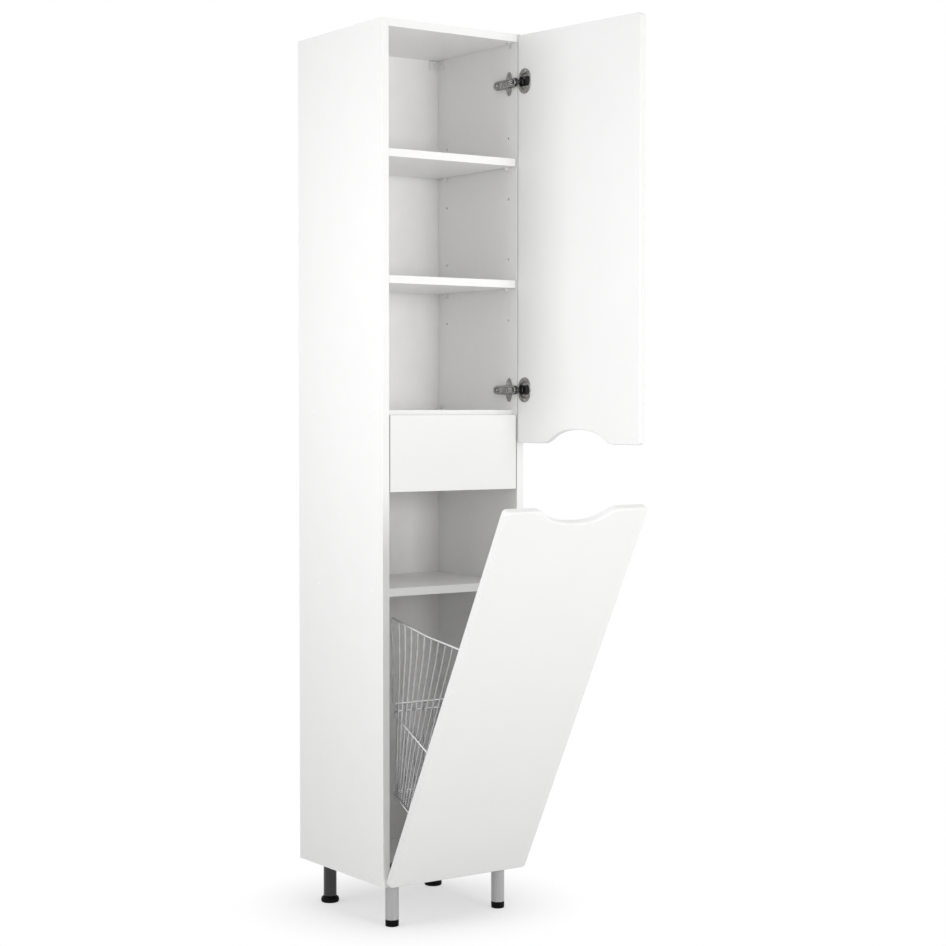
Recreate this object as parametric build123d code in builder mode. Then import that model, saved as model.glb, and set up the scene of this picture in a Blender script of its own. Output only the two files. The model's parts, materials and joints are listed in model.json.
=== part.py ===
"""Tall narrow column cabinet: open shelves behind a side-hung door, a flush drawer, an open niche
and a tilt-out door that carries a wire laundry basket. It stands on four levelling legs.

Units are millimetres, +Z is up and the front faces -Y. The origin is on the floor under the middle
of the carcass. The upper door is built open and the lower door tilted out.
"""

import os
from math import cos, hypot, radians, sin

from build123d import *

# carcass
WIDTH = 350.0
HEIGHT = 1750.0
BOARD = 16.0
BOTTOM_BOARD = 22.0
LEG_HEIGHT = 90.0
EDGE_R = 0.8
BACK_T = 3.0
BACK_RECESS = 35.0
BACK_CLEAR = 0.2
GROOVE = 6.0
GROOVE_PLAY = 0.1
PANEL_PLAY = 0.5
DIVIDER_RISE = 53.0
DIVIDER_CLEAR = 2.0
NICHE_HEIGHT = 195.0
NICHE_SETBACK = 2.0
SHELF_DROPS = (274.5, 528.5)
SHELF_PLAY = 2.0
SHELF_SETBACK = 3.0
SHELF_BACK_GAP = 6.0

# carcass screws, their covers and the shelf pegs
SCREW_HEAD_R = 3.5
SCREW_R = 2.5
SCREW_LENGTH = 49.0
SCREW_PLAY = 0.1
SCREW_NECK_GAP = 0.2
HOLE_REST = 0.5
SCREW_FRONT = 40.0
SCREW_BACK = 42.0
DIVIDER_SCREW_FRONT = 55.0
DIVIDER_SCREW_BACK = 25.0
BOTTOM_SCREW_BACK = 25.0
CAP_R = 6.0
CAP_T = 0.8
PEG_R = 2.5
PEG_FIT = 0.02
PEG_HOLE_DEPTH = 9.0
PEG_COLLAR_R = 4.0
PEG_COLLAR_T = 1.5
PEG_OUT = 10.0
PEG_FRONT = 32.0
PEG_BACK = 35.0
PEG_STEP = 64.0

# brackets
ANGLE_LEG = 11.0
ANGLE_WIDTH = 9.0
ANGLE_T = 1.5
ANGLE_FRONT = 18.0
ANGLE_BACK = 10.0
HANGER_FLANGE = 24.0
HANGER_HEIGHT = 18.0
HANGER_T = 2.0
HANGER_DROP = 9.5
HANGER_HOLE_R = 3.25

# drawer and its runners
DRAWER_HEIGHT = 155.5
DRAWER_OVER = 6.0
DRAWER_PLAY = 2.5
DRAWER_BOX_T = 12.0
DRAWER_BOX_RISE = 11.5
DRAWER_BOX_HEIGHT = 100.0
DRAWER_BOX_LENGTH = 254.0
DRAWER_BACK_GAP = 27.0
DRAWER_BOTTOM_T = 3.0
RUNNER_SPACE = 12.5
RUNNER_WIDTH = 10.0
RUNNER_HEIGHT = 35.0
RUNNER_WALL = 1.5
RUNNER_LIP = 6.0
RUNNER_RISE = 43.0
RUNNER_FRONT_GAP = 3.0
RUNNER_BACK_GAP = 1.0
RUNNER_PLAY = 0.5
BAR_FRONT_GAP = 1.0
BAR_BACK_GAP = 15.0

# doors
DOOR_T = 16.0
DOOR_REVEAL = 2.0
DOOR_GAP = 2.5
DOOR_SPLIT = 17.0
DOOR_CORNER_R = 8.0
DOOR_FRONT_R = 4.0
DOOR_BACK_R = 2.0
UPPER_DOOR_TOP_GAP = 3.0
UPPER_DOOR_OPEN = 98.0
LOWER_DOOR_REVEAL = 5.0
LOWER_DOOR_Z = 3.0
LOWER_DOOR_HEIGHT = 877.0
LOWER_DOOR_TILT = 27.5
GRIP_HALF = 102.0
GRIP_RISE = 29.0

# cup hinges
AXIS_EDGE = 7.0
AXIS_DEEP = 7.0
CUP_R = 17.5
CUP_DEPTH = 11.5
CUP_WALL = 0.9
CUP_FLOOR = 1.0
CUP_EDGE = 3.0
CUP_PLAY = 0.1
CUP_BORE_REST = 0.4
FLANGE_T = 1.2
FLANGE_EAR = 8.5
FLANGE_WIDE = 34.0
FLANGE_LIP = 0.8
PIN_R = 1.5
PIN_FIT = 0.02
PIN_PLAY = 0.05
NOSE_R = 2.4
NOSE_T = 2.4
NOSE_HALF = 3.4
NOSE_PLAY = 0.4
EAR_T = 2.2
EAR_HALF = 2.2
ARM_T = 5.0
ARM_HALF = 9.0
ARM_BACK = 74.0
PLATE_FRONT = 11.0
PLATE_LENGTH = 34.0
PLATE_MARGIN = 0.5
UPPER_PLATE_RISE = 4.5
LOWER_PLATE_RISE = 2.5
WING_TALL = 50.0
WING_LENGTH = 20.0
WING_T = 2.0
WING_SCREW_OFF = 19.0
HINGE_FROM_TOP = 97.0
HINGE_FROM_BOTTOM = 111.0
LOWER_HINGE_INSET = 65.0
HINGE_SCREW_R = 1.7
HINGE_SCREW_LENGTH = 11.0
HINGE_SCREW_HEAD_R = 3.4
HINGE_SCREW_HEAD_T = 0.9
HINGE_SCREW_PLAY = 0.05
CUP_SCREW_GAP = 4.3

# wire basket on the lower door, in the closed position
BASKET_SIDE_GAP = 16.0
BASKET_FRONT = 8.0
BASKET_BACK_GAP = 30.0
BASKET_LOW_DEPTH = 88.0
BASKET_LIFT = 130.0
BASKET_TOP_GAP = 35.5
BASKET_BACK_DROP = 84.0
BASKET_RING_RISE = 150.0
BASKET_BACK_RISE = 164.0
RIM_MID_SHARE = 0.5
RIM_SAG = 5.0
FLARE = 10.0
FLARE_DROP = 25.0
FLARE_MORE = 40.0
FRAME_WIRE = 4.0
MESH_WIRE = 3.0
WIRE_BEND = 7.0
WIRE_STEP = 22.0
WIRE_GAP = 0.1
RING_OFF = 2.2
CLIP_INSET = 66.0
CLIP_LENGTH = 14.0
CLIP_TALL = 18.0
CLIP_LIP = 5.0
CLIP_PLAY = 0.1
CLIP_SNAP = 0.32
REST_LIP = 0.5

# legs
LEG_INSET = 42.0
LEG_FRONT = 33.0
LEG_REAR = 55.0
TUBE_R = 14.0
TUBE_WALL = 1.3
PLATE_R = 27.0
PLATE_T = 2.0
PAD_HEIGHT = 13.5
PAD_GAP = 0.5
PAD_TOP_R = 0.6
PAD_SOLE_R = 1.5
REAR_PAD_R = 19.5
STEM_R = 4.0
STEM_LENGTH = 30.0
STEM_PLAY = 0.05
INSERT_HEIGHT = 20.0
INSERT_PLAY = 0.05
LEG_SCREW_R = 1.8
LEG_SCREW_LENGTH = 13.0
LEG_SCREW_HEAD_R = 3.6
LEG_SCREW_HEAD_T = 1.2
LEG_SCREW_PLAY = 0.05

# depth: the drawer's front and box, the space behind it, the back panel and its recess
BACK_FACE = BOARD + DRAWER_BOX_LENGTH + DRAWER_BACK_GAP
DEPTH = BACK_FACE + BACK_T + BACK_RECESS
FRONT = -DEPTH / 2
REAR = DEPTH / 2
BACK_IN = FRONT + BACK_FACE
BACK_OUT = BACK_IN + BACK_T
FIXED_BACK = BACK_IN - BACK_CLEAR

# width and the two sides
INNER = WIDTH / 2 - BOARD
SIDES = {"left": -1, "right": 1}

# heights above the floor, from the bottom to the top
BASE = LEG_HEIGHT
FLOOR_TOP = BASE + BOTTOM_BOARD
LOWER_LOW = BASE + LOWER_DOOR_Z
UPPER_LOW = LOWER_LOW + LOWER_DOOR_HEIGHT + DOOR_SPLIT
DIVIDER_Z = UPPER_LOW + DIVIDER_RISE
DRAWER_Z = DIVIDER_Z + DRAWER_OVER - DRAWER_HEIGHT
NICHE_Z = DRAWER_Z - NICHE_HEIGHT - BOARD
TOP = BASE + HEIGHT
CEILING = TOP - BOARD
UPPER_HIGH = TOP - UPPER_DOOR_TOP_GAP
SHELF_Z = [TOP - drop for drop in SHELF_DROPS]

LOW = (Align.MIN, Align.MIN, Align.MIN)
UP = (Align.CENTER, Align.CENTER, Align.MIN)
DOWN = (Align.CENTER, Align.CENTER, Align.MAX)

os.makedirs("parts", exist_ok=True)


def save(builder, name):
    """Labels one sub-part and writes its file."""
    builder.part.label = name
    export_step(builder.part, "parts/" + name + ".step")


def slab(x0, x1, y0, y1, z0, z1, mode=Mode.ADD):
    """A block between two corners, in the frame of the builder around it."""
    with Locations((x0, y0, z0)):
        Box(x1 - x0, y1 - y0, z1 - z0, align=LOW, mode=mode)


def bar(x, y, z, along, radius, length, mode=Mode.ADD):
    """A cylinder that starts at a point and runs along a direction."""
    turn = {"x": (0, 90, 0), "-x": (0, -90, 0), "y": (-90, 0, 0), "-y": (90, 0, 0), "z": (0, 0, 0)}
    with Locations(Location((x, y, z), turn[along])):
        Cylinder(radius, length, align=UP, mode=mode)


def span(sign, a, b):
    """Two distances from the middle as an ascending pair on one side of it."""
    return sorted((sign * a, sign * b))


def outwards(sign):
    """The direction away from the middle on one side."""
    return "x" if sign > 0 else "-x"


# carcass screws, as the distance from the carcass middle plane and the height of the board's middle
TOP_MID = TOP - BOARD / 2
DIVIDER_MID = DIVIDER_Z + BOARD / 2
NICHE_MID = NICHE_Z + BOARD / 2
BOTTOM_MID = BASE + BOTTOM_BOARD / 2
SCREWS = [
    (FRONT + SCREW_FRONT, TOP_MID),
    (BACK_IN - SCREW_BACK, TOP_MID),
    (FRONT + DIVIDER_SCREW_FRONT, DIVIDER_MID),
    (BACK_IN - DIVIDER_SCREW_BACK, DIVIDER_MID),
    (FRONT + SCREW_FRONT, NICHE_MID),
    (BACK_IN - SCREW_BACK, NICHE_MID),
    (FRONT + SCREW_FRONT, BOTTOM_MID),
    (REAR - BOTTOM_SCREW_BACK, BOTTOM_MID),
]

# shelf pegs in the middle one of three holes
PEGS = [(y, z - PEG_R) for z in SHELF_Z for y in (FRONT + PEG_FRONT, BACK_IN - PEG_BACK)]
PEG_HOLES = [(y, z + k * PEG_STEP) for y, z in PEGS for k in (-1, 0, 1)]

# hinge axes and the frames of the opened doors, whose y runs from the door into the cabinet
CARCASS_AT = DOOR_GAP + AXIS_DEEP
AXIS_Y = FRONT - CARCASS_AT
UPPER_AXIS_X = WIDTH / 2 - DOOR_REVEAL - AXIS_EDGE
LOWER_AXIS_Z = LOWER_LOW + AXIS_EDGE
LOWER_HINGE_X = WIDTH / 2 - LOWER_HINGE_INSET
UPPER_HINGES = (UPPER_HIGH - HINGE_FROM_TOP, UPPER_LOW + HINGE_FROM_BOTTOM)
LOWER_HINGES = (-LOWER_HINGE_X, LOWER_HINGE_X)
DOOR_WIDTH = WIDTH - 2 * DOOR_REVEAL
SWING = radians(UPPER_DOOR_OPEN)
TILT = radians(LOWER_DOOR_TILT)
UPPER_FRAME = Plane((UPPER_AXIS_X, AXIS_Y, 0), x_dir=(cos(SWING), sin(SWING), 0), z_dir=(0, 0, 1))
LOWER_FRAME = Plane((0, AXIS_Y, LOWER_AXIS_Z), x_dir=(1, 0, 0), z_dir=(0, -sin(TILT), cos(TILT)))

# hinge parts, measured from the axis: the cup's middle, the board's face and the plate's screws
CUP_X = AXIS_EDGE - CUP_EDGE - CUP_R
CUP_SCREW_OFF = CUP_R + CUP_SCREW_GAP
UPPER_FACE = UPPER_AXIS_X - INNER
LOWER_FACE = FLOOR_TOP - LOWER_AXIS_Z
UPPER_REACH = UPPER_FACE + UPPER_PLATE_RISE + ARM_T / 2
LOWER_REACH = LOWER_FACE + LOWER_PLATE_RISE + ARM_T / 2
WING_Y = CARCASS_AT + PLATE_FRONT + PLATE_LENGTH / 2
PIN_HALF = NOSE_HALF + NOSE_PLAY + EAR_T
HINGE_HOLE_R = HINGE_SCREW_R + HINGE_SCREW_PLAY
HINGE_HOLE_DEPTH = HINGE_SCREW_LENGTH + HOLE_REST


def upper_hinge_plane(z, turned):
    """The frame of one upper hinge: its z runs along the axis and its y into the cabinet."""
    angle = SWING if turned else 0.0
    return Plane((UPPER_AXIS_X, AXIS_Y, z), x_dir=(cos(angle), sin(angle), 0), z_dir=(0, 0, 1))


def lower_hinge_plane(x, turned):
    """The frame of one lower hinge, with its z along the tilt axis."""
    angle = TILT if turned else 0.0
    return Plane((x, AXIS_Y, LOWER_AXIS_Z), x_dir=(0, sin(angle), -cos(angle)), z_dir=(1, 0, 0))


def make_side(sign):
    """One side board with its groove, screw holes and peg holes."""
    with BuildPart() as side:
        slab(*span(sign, INNER, WIDTH / 2), FRONT, REAR, BASE, TOP)
        fillet(side.edges().filter_by(Axis.Z).group_by(Axis.Y)[0], radius=EDGE_R)
        groove = (BACK_IN - GROOVE_PLAY, BACK_OUT + GROOVE_PLAY)
        slab(*span(sign, INNER, INNER + GROOVE), *groove, BASE, TOP, Mode.SUBTRACT)
        for y, z in SCREWS:
            neck_r = SCREW_HEAD_R + SCREW_PLAY
            bar(sign * WIDTH / 2, y, z, outwards(-sign), neck_r, BOARD, Mode.SUBTRACT)
        for y, z in PEG_HOLES:
            bar(sign * INNER, y, z, outwards(sign), PEG_R + PEG_FIT, PEG_HOLE_DEPTH, Mode.SUBTRACT)
    return side


left_side = make_side(-1)
save(left_side, "left_side")

right_side = make_side(1)
with right_side:
    for z in UPPER_HINGES:
        for off in (-WING_SCREW_OFF, WING_SCREW_OFF):
            bar(INNER, AXIS_Y + WING_Y, z + off, "x", HINGE_HOLE_R, HINGE_HOLE_DEPTH, Mode.SUBTRACT)
save(right_side, "right_side")


def edge_holes(board_mid):
    """Screw holes in both ends of a fixed board."""
    depth = SCREW_LENGTH - BOARD + HOLE_REST
    for y, z in SCREWS:
        if z == board_mid:
            for sign in SIDES.values():
                bar(sign * INNER, y, z, outwards(-sign), SCREW_R + SCREW_PLAY, depth, Mode.SUBTRACT)


with BuildPart() as top_panel:
    slab(-INNER, INNER, FRONT, REAR, CEILING, TOP)
    groove = (BACK_IN - GROOVE_PLAY, BACK_OUT + GROOVE_PLAY)
    slab(-INNER, INNER, *groove, CEILING, CEILING + GROOVE, Mode.SUBTRACT)
    edge_holes(TOP_MID)
save(top_panel, "top_panel")

LEG_X = WIDTH / 2 - LEG_INSET
LEGS = {
    "front_left": (-LEG_X, FRONT + LEG_FRONT),
    "front_right": (LEG_X, FRONT + LEG_FRONT),
    "rear_left": (-LEG_X, REAR - LEG_REAR),
    "rear_right": (LEG_X, REAR - LEG_REAR),
}
LEG_SCREW_CIRCLE = (TUBE_R + PLATE_R) / 2

with BuildPart() as bottom_panel:
    slab(-INNER, INNER, FRONT, REAR, BASE, FLOOR_TOP)
    groove = (BACK_IN - GROOVE_PLAY, BACK_OUT + GROOVE_PLAY)
    slab(-INNER, INNER, *groove, FLOOR_TOP - GROOVE, FLOOR_TOP, Mode.SUBTRACT)
    edge_holes(BOTTOM_MID)
    with Locations(*[(x, y, BASE) for x, y in LEGS.values()]):
        with PolarLocations(LEG_SCREW_CIRCLE, 4, start_angle=45):
            hole_r = LEG_SCREW_R + LEG_SCREW_PLAY
            Cylinder(hole_r, LEG_SCREW_LENGTH + HOLE_REST, align=UP, mode=Mode.SUBTRACT)
    for x in LOWER_HINGES:
        for off in (-WING_SCREW_OFF, WING_SCREW_OFF):
            start = (x + off, AXIS_Y + WING_Y, FLOOR_TOP - HINGE_HOLE_DEPTH)
            bar(*start, "z", HINGE_HOLE_R, HINGE_HOLE_DEPTH, Mode.SUBTRACT)
save(bottom_panel, "bottom_panel")

# two wall brackets sit in the upper rear corners, with a screw hole through the back panel
HANGER_Z = CEILING - HANGER_DROP
HANGER_X = INNER - HANGER_FLANGE / 2 - HANGER_T / 2

with BuildPart() as back_panel:
    half = INNER + GROOVE - PANEL_PLAY
    ends = (FLOOR_TOP - GROOVE + PANEL_PLAY, CEILING + GROOVE - PANEL_PLAY)
    slab(-half, half, BACK_IN, BACK_OUT, *ends)
    for sign in SIDES.values():
        bar(sign * HANGER_X, BACK_IN, HANGER_Z, "y", HANGER_HOLE_R, BACK_T, Mode.SUBTRACT)
save(back_panel, "back_panel")

with BuildPart() as divider_panel:
    start = FRONT + BOARD + DIVIDER_CLEAR
    slab(-INNER, INNER, start, FIXED_BACK, DIVIDER_Z, DIVIDER_Z + BOARD)
    edge_holes(DIVIDER_MID)
save(divider_panel, "divider_panel")

with BuildPart() as niche_shelf:
    slab(-INNER, INNER, FRONT + NICHE_SETBACK, FIXED_BACK, NICHE_Z, NICHE_Z + BOARD)
    edge_holes(NICHE_MID)
save(niche_shelf, "niche_shelf")

for name, z in zip(("upper_shelf", "lower_shelf"), SHELF_Z):
    with BuildPart() as shelf:
        half = INNER - SHELF_PLAY
        slab(-half, half, FRONT + SHELF_SETBACK, BACK_IN - SHELF_BACK_GAP, z, z + BOARD)
        fillet(shelf.edges().filter_by(Axis.X).group_by(Axis.Y)[0], radius=EDGE_R)
    save(shelf, name)

with BuildPart() as shelf_pegs:
    for sign in SIDES.values():
        for y, z in PEGS:
            start = sign * (INNER - PEG_OUT)
            bar(start, y, z, outwards(sign), PEG_R, PEG_OUT + PEG_HOLE_DEPTH - HOLE_REST)
            collar = sign * (INNER - PEG_COLLAR_T)
            bar(collar, y, z, outwards(sign), PEG_COLLAR_R, PEG_COLLAR_T)
save(shelf_pegs, "shelf_pegs")

with BuildPart() as carcass_screws:
    for sign in SIDES.values():
        for y, z in SCREWS:
            bar(sign * WIDTH / 2, y, z, outwards(-sign), SCREW_HEAD_R, BOARD - SCREW_NECK_GAP)
            bar(sign * WIDTH / 2, y, z, outwards(-sign), SCREW_R, SCREW_LENGTH)
save(carcass_screws, "carcass_screws")

with BuildPart() as screw_caps:
    for sign in SIDES.values():
        for y, z in SCREWS:
            bar(sign * WIDTH / 2, y, z, outwards(sign), CAP_R, CAP_T)
save(screw_caps, "screw_caps")

# small angles under the top board at the front and on the divider at the back
with BuildPart() as corner_angles:
    rear_angle = FIXED_BACK - ANGLE_BACK - ANGLE_WIDTH
    for y, z, way in ((FRONT + ANGLE_FRONT, CEILING, -1), (rear_angle, DIVIDER_Z + BOARD, 1)):
        for sign in SIDES.values():
            flat = span(sign, INNER, INNER - ANGLE_LEG)
            wall = span(sign, INNER, INNER - ANGLE_T)
            slab(*flat, y, y + ANGLE_WIDTH, *sorted((z, z + way * ANGLE_T)))
            slab(*wall, y, y + ANGLE_WIDTH, *sorted((z, z + way * ANGLE_LEG)))
save(corner_angles, "corner_angles")

for side, sign in SIDES.items():
    with BuildPart() as hanger:
        ends = (HANGER_Z - HANGER_HEIGHT / 2, HANGER_Z + HANGER_HEIGHT / 2)
        slab(*span(sign, INNER, INNER - HANGER_FLANGE), BACK_IN - HANGER_T, BACK_IN, *ends)
        slab(*span(sign, INNER, INNER - HANGER_T), BACK_IN - HANGER_FLANGE, BACK_IN, *ends)
        hole_y = BACK_IN - HANGER_T
        bar(sign * HANGER_X, hole_y, HANGER_Z, "y", HANGER_HOLE_R, HANGER_T, Mode.SUBTRACT)
    save(hanger, "wall_bracket_" + side)

# drawer: the box hangs behind the front, between the two runners
BOX_HALF = INNER - RUNNER_SPACE
BOX_START = FRONT + BOARD
BOX_END = BOX_START + DRAWER_BOX_LENGTH
BOX_LOW = DRAWER_Z + DRAWER_BOX_RISE
BOX_HIGH = BOX_LOW + DRAWER_BOX_HEIGHT

with BuildPart() as drawer_front:
    half = INNER - DRAWER_PLAY
    slab(-half, half, FRONT, FRONT + BOARD, DRAWER_Z, DRAWER_Z + DRAWER_HEIGHT)
    fillet(drawer_front.faces().sort_by(Axis.Y)[0].edges(), radius=EDGE_R)
save(drawer_front, "drawer_front")

for side, sign in SIDES.items():
    with BuildPart() as box_side:
        slab(*span(sign, BOX_HALF, BOX_HALF - DRAWER_BOX_T), BOX_START, BOX_END, BOX_LOW, BOX_HIGH)
    save(box_side, "drawer_side_" + side)

with BuildPart() as drawer_back:
    half = BOX_HALF - DRAWER_BOX_T
    slab(-half, half, BOX_END - DRAWER_BOX_T, BOX_END, BOX_LOW, BOX_HIGH)
save(drawer_back, "drawer_back")

with BuildPart() as drawer_bottom:
    slab(-BOX_HALF, BOX_HALF, BOX_START, BOX_END, BOX_LOW - DRAWER_BOTTOM_T, BOX_LOW)
save(drawer_bottom, "drawer_bottom")

# drawer runners: a channel on each side board and a sliding bar on the drawer
RUNNER_START = BOX_START + RUNNER_FRONT_GAP
RUNNER_END = BOX_END - RUNNER_BACK_GAP
RUNNER_MID = BOX_LOW + RUNNER_RISE
CHANNEL_OPEN = INNER - RUNNER_WIDTH

for side, sign in SIDES.items():
    with BuildPart() as channel:
        half = RUNNER_HEIGHT / 2
        ends = (RUNNER_START, RUNNER_END)
        slab(*span(sign, INNER, CHANNEL_OPEN), *ends, RUNNER_MID - half, RUNNER_MID + half)
        hollow = span(sign, INNER - RUNNER_WALL, CHANNEL_OPEN + RUNNER_WALL)
        tall = half - RUNNER_WALL
        slab(*hollow, *ends, RUNNER_MID - tall, RUNNER_MID + tall, Mode.SUBTRACT)
        mouth = span(sign, CHANNEL_OPEN + RUNNER_WALL, CHANNEL_OPEN)
        tall = half - RUNNER_LIP
        slab(*mouth, *ends, RUNNER_MID - tall, RUNNER_MID + tall, Mode.SUBTRACT)
    save(channel, "runner_channel_" + side)

    with BuildPart() as slider:
        half = RUNNER_HEIGHT / 2
        ends = (RUNNER_START + BAR_FRONT_GAP, RUNNER_END - BAR_BACK_GAP)
        far = INNER - RUNNER_WALL - RUNNER_PLAY
        inside = span(sign, far, CHANNEL_OPEN + RUNNER_WALL + RUNNER_PLAY)
        tall = half - RUNNER_WALL - RUNNER_PLAY
        slab(*inside, *ends, RUNNER_MID - tall, RUNNER_MID + tall)
        tall = half - RUNNER_LIP - RUNNER_PLAY
        slab(*span(sign, far, BOX_HALF), *ends, RUNNER_MID - tall, RUNNER_MID + tall)
    save(slider, "runner_bar_" + side)


def grip_curve(middle, level, sign):
    """The wave of a door's grip: points along the edge from one end of the wave to the other."""
    shape = ((-1, 0), (-0.7, 0.43), (-0.41, 0.86), (0, 1), (0.41, 0.86), (0.7, 0.43), (1, 0))
    return [(middle + u * GRIP_HALF, level + sign * v * GRIP_RISE) for u, v in shape]


def door_outline(x0, x1, z0, z1, grip_at_top):
    """A door's outline on its inner face, with rounded corners and the grip wave in one edge."""
    r = DOOR_CORNER_R
    waved, plain, sign = (z1, z0, -1) if grip_at_top else (z0, z1, 1)
    wave = grip_curve((x0 + x1) / 2, waved, sign)
    with BuildSketch(Plane.XZ.offset(-AXIS_DEEP)) as outline:
        with BuildLine():
            Line((x0 + r, waved), wave[0])
            Spline(*wave, tangents=((1, 0), (1, 0)))
            Line(wave[-1], (x1 - r, waved))
            Line((x1 - r, plain), (x0 + r, plain))
            Line((x0, z0 + r), (x0, z1 - r))
            Line((x1, z0 + r), (x1, z1 - r))
            RadiusArc((x0, z1 - r), (x0 + r, z1), r)
            RadiusArc((x1 - r, z1), (x1, z1 - r), r)
            RadiusArc((x1, z0 + r), (x1 - r, z0), r)
            RadiusArc((x0 + r, z0), (x0, z0 + r), r)
        make_face()
    return outline.sketch


def make_door(frame, outline, cups):
    """A finished door in its frame: the blank with eased edges and the bores for its hinge cups."""
    with BuildPart() as blank:
        extrude(outline, amount=DOOR_T)
        fillet(blank.faces().sort_by(Axis.Y)[0].outer_wire().edges(), radius=DOOR_FRONT_R)
        fillet(blank.faces().sort_by(Axis.Y)[-1].outer_wire().edges(), radius=DOOR_BACK_R)
        for u, v, du, dv in cups:
            bore_r = CUP_R + CUP_PLAY
            bar(u, AXIS_DEEP, v, "-y", bore_r, CUP_DEPTH + CUP_BORE_REST, Mode.SUBTRACT)
            for way in (-CUP_SCREW_OFF, CUP_SCREW_OFF):
                at = (u + way * du, AXIS_DEEP, v + way * dv)
                bar(*at, "-y", HINGE_HOLE_R, HINGE_HOLE_DEPTH, Mode.SUBTRACT)
    with BuildPart() as door:
        add(frame.location * blank.part)
    return door


upper_outline = door_outline(AXIS_EDGE - DOOR_WIDTH, AXIS_EDGE, UPPER_LOW, UPPER_HIGH, False)
upper_door = make_door(UPPER_FRAME, upper_outline, [(CUP_X, z, 0, 1) for z in UPPER_HINGES])
save(upper_door, "upper_door")

LOWER_REST = LOWER_DOOR_HEIGHT - AXIS_EDGE
LOWER_HALF = WIDTH / 2 - LOWER_DOOR_REVEAL
lower_outline = door_outline(-LOWER_HALF, LOWER_HALF, -AXIS_EDGE, LOWER_REST, True)
hamper_door = make_door(LOWER_FRAME, lower_outline, [(x, -CUP_X, 1, 0) for x in LOWER_HINGES])
save(hamper_door, "hamper_door")


def hinge_cup(plane):
    """A pressed hinge cup with its oval flange and the two ears that hold the pin."""
    flange = plane.from_local_coords((CUP_X, AXIS_DEEP, 0))
    face = AXIS_DEEP + FLANGE_T
    low = AXIS_DEEP - CUP_DEPTH
    with BuildPart(plane) as cup:
        bar(CUP_X, AXIS_DEEP, 0, "-y", CUP_R, CUP_DEPTH)
        with BuildSketch(Plane(flange, plane.x_dir, plane.y_dir)):
            SlotOverall(2 * (CUP_R + FLANGE_EAR), FLANGE_WIDE, rotation=90)
            Circle(CUP_R + FLANGE_LIP)
        extrude(amount=FLANGE_T)
        bar(CUP_X, face, 0, "-y", CUP_R - CUP_WALL, CUP_DEPTH + FLANGE_T - CUP_FLOOR, Mode.SUBTRACT)
        for sign in (-1, 1):
            ear = span(sign, NOSE_HALF + NOSE_PLAY, PIN_HALF)
            slab(-EAR_HALF, EAR_HALF, low + CUP_FLOOR / 2, EAR_HALF, *ear)
            at = (CUP_X, face, sign * CUP_SCREW_OFF)
            bar(*at, "-y", HINGE_HOLE_R, FLANGE_T, Mode.SUBTRACT)
        bar(0, 0, -PIN_HALF, "z", PIN_R + PIN_FIT, 2 * PIN_HALF, Mode.SUBTRACT)
    return cup


def hinge_pin(plane):
    """The pin on the hinge axis."""
    with BuildPart(plane) as pin:
        bar(0, 0, -PIN_HALF, "z", PIN_R, 2 * PIN_HALF)
    return pin


def hinge_arm(plane, reach):
    """A cranked arm: an eye round the pin, a nose across the cup and a tail back along the plate."""
    tail = (-reach - ARM_T / 2, -reach + ARM_T / 2)
    with BuildPart(plane) as arm:
        bar(0, 0, -NOSE_HALF, "z", NOSE_R, 2 * NOSE_HALF)
        slab(-reach, 0, -NOSE_T / 2, NOSE_T / 2, -NOSE_HALF, NOSE_HALF)
        slab(*tail, -NOSE_T / 2, CARCASS_AT + ARM_BACK, -ARM_HALF, ARM_HALF)
        bar(0, 0, -NOSE_HALF, "z", PIN_R + PIN_PLAY, 2 * NOSE_HALF, Mode.SUBTRACT)
    return arm


def hinge_plate(plane, reach, face):
    """A mounting plate between an arm and its board, on an oval with two screws."""
    start = CARCASS_AT + PLATE_FRONT
    half = ARM_HALF + PLATE_MARGIN
    wing = plane.from_local_coords((-face, WING_Y, 0))
    with BuildPart(plane) as plate:
        slab(-reach + ARM_T / 2, -face, start, start + PLATE_LENGTH, -half, half)
        with BuildSketch(Plane(wing, plane.z_dir, -plane.x_dir)):
            Ellipse(WING_TALL / 2, WING_LENGTH / 2)
        extrude(amount=WING_T)
        for off in (-WING_SCREW_OFF, WING_SCREW_OFF):
            bar(-face - WING_T, WING_Y, off, "x", HINGE_HOLE_R, WING_T, Mode.SUBTRACT)
    return plate


def plate_screws(plane, face):
    """The two screws of a mounting plate."""
    with BuildPart(plane) as screws:
        for off in (-WING_SCREW_OFF, WING_SCREW_OFF):
            at = (-face - WING_T, WING_Y, off)
            bar(*at, "x", HINGE_SCREW_R, HINGE_SCREW_LENGTH + WING_T)
            bar(*at, "-x", HINGE_SCREW_HEAD_R, HINGE_SCREW_HEAD_T)
    return screws


def cup_screws(plane):
    """The two screws of a cup."""
    with BuildPart(plane) as screws:
        for off in (-CUP_SCREW_OFF, CUP_SCREW_OFF):
            at = (CUP_X, AXIS_DEEP + FLANGE_T, off)
            bar(*at, "-y", HINGE_SCREW_R, HINGE_SCREW_LENGTH + FLANGE_T)
            bar(*at, "y", HINGE_SCREW_HEAD_R, HINGE_SCREW_HEAD_T)
    return screws


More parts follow.
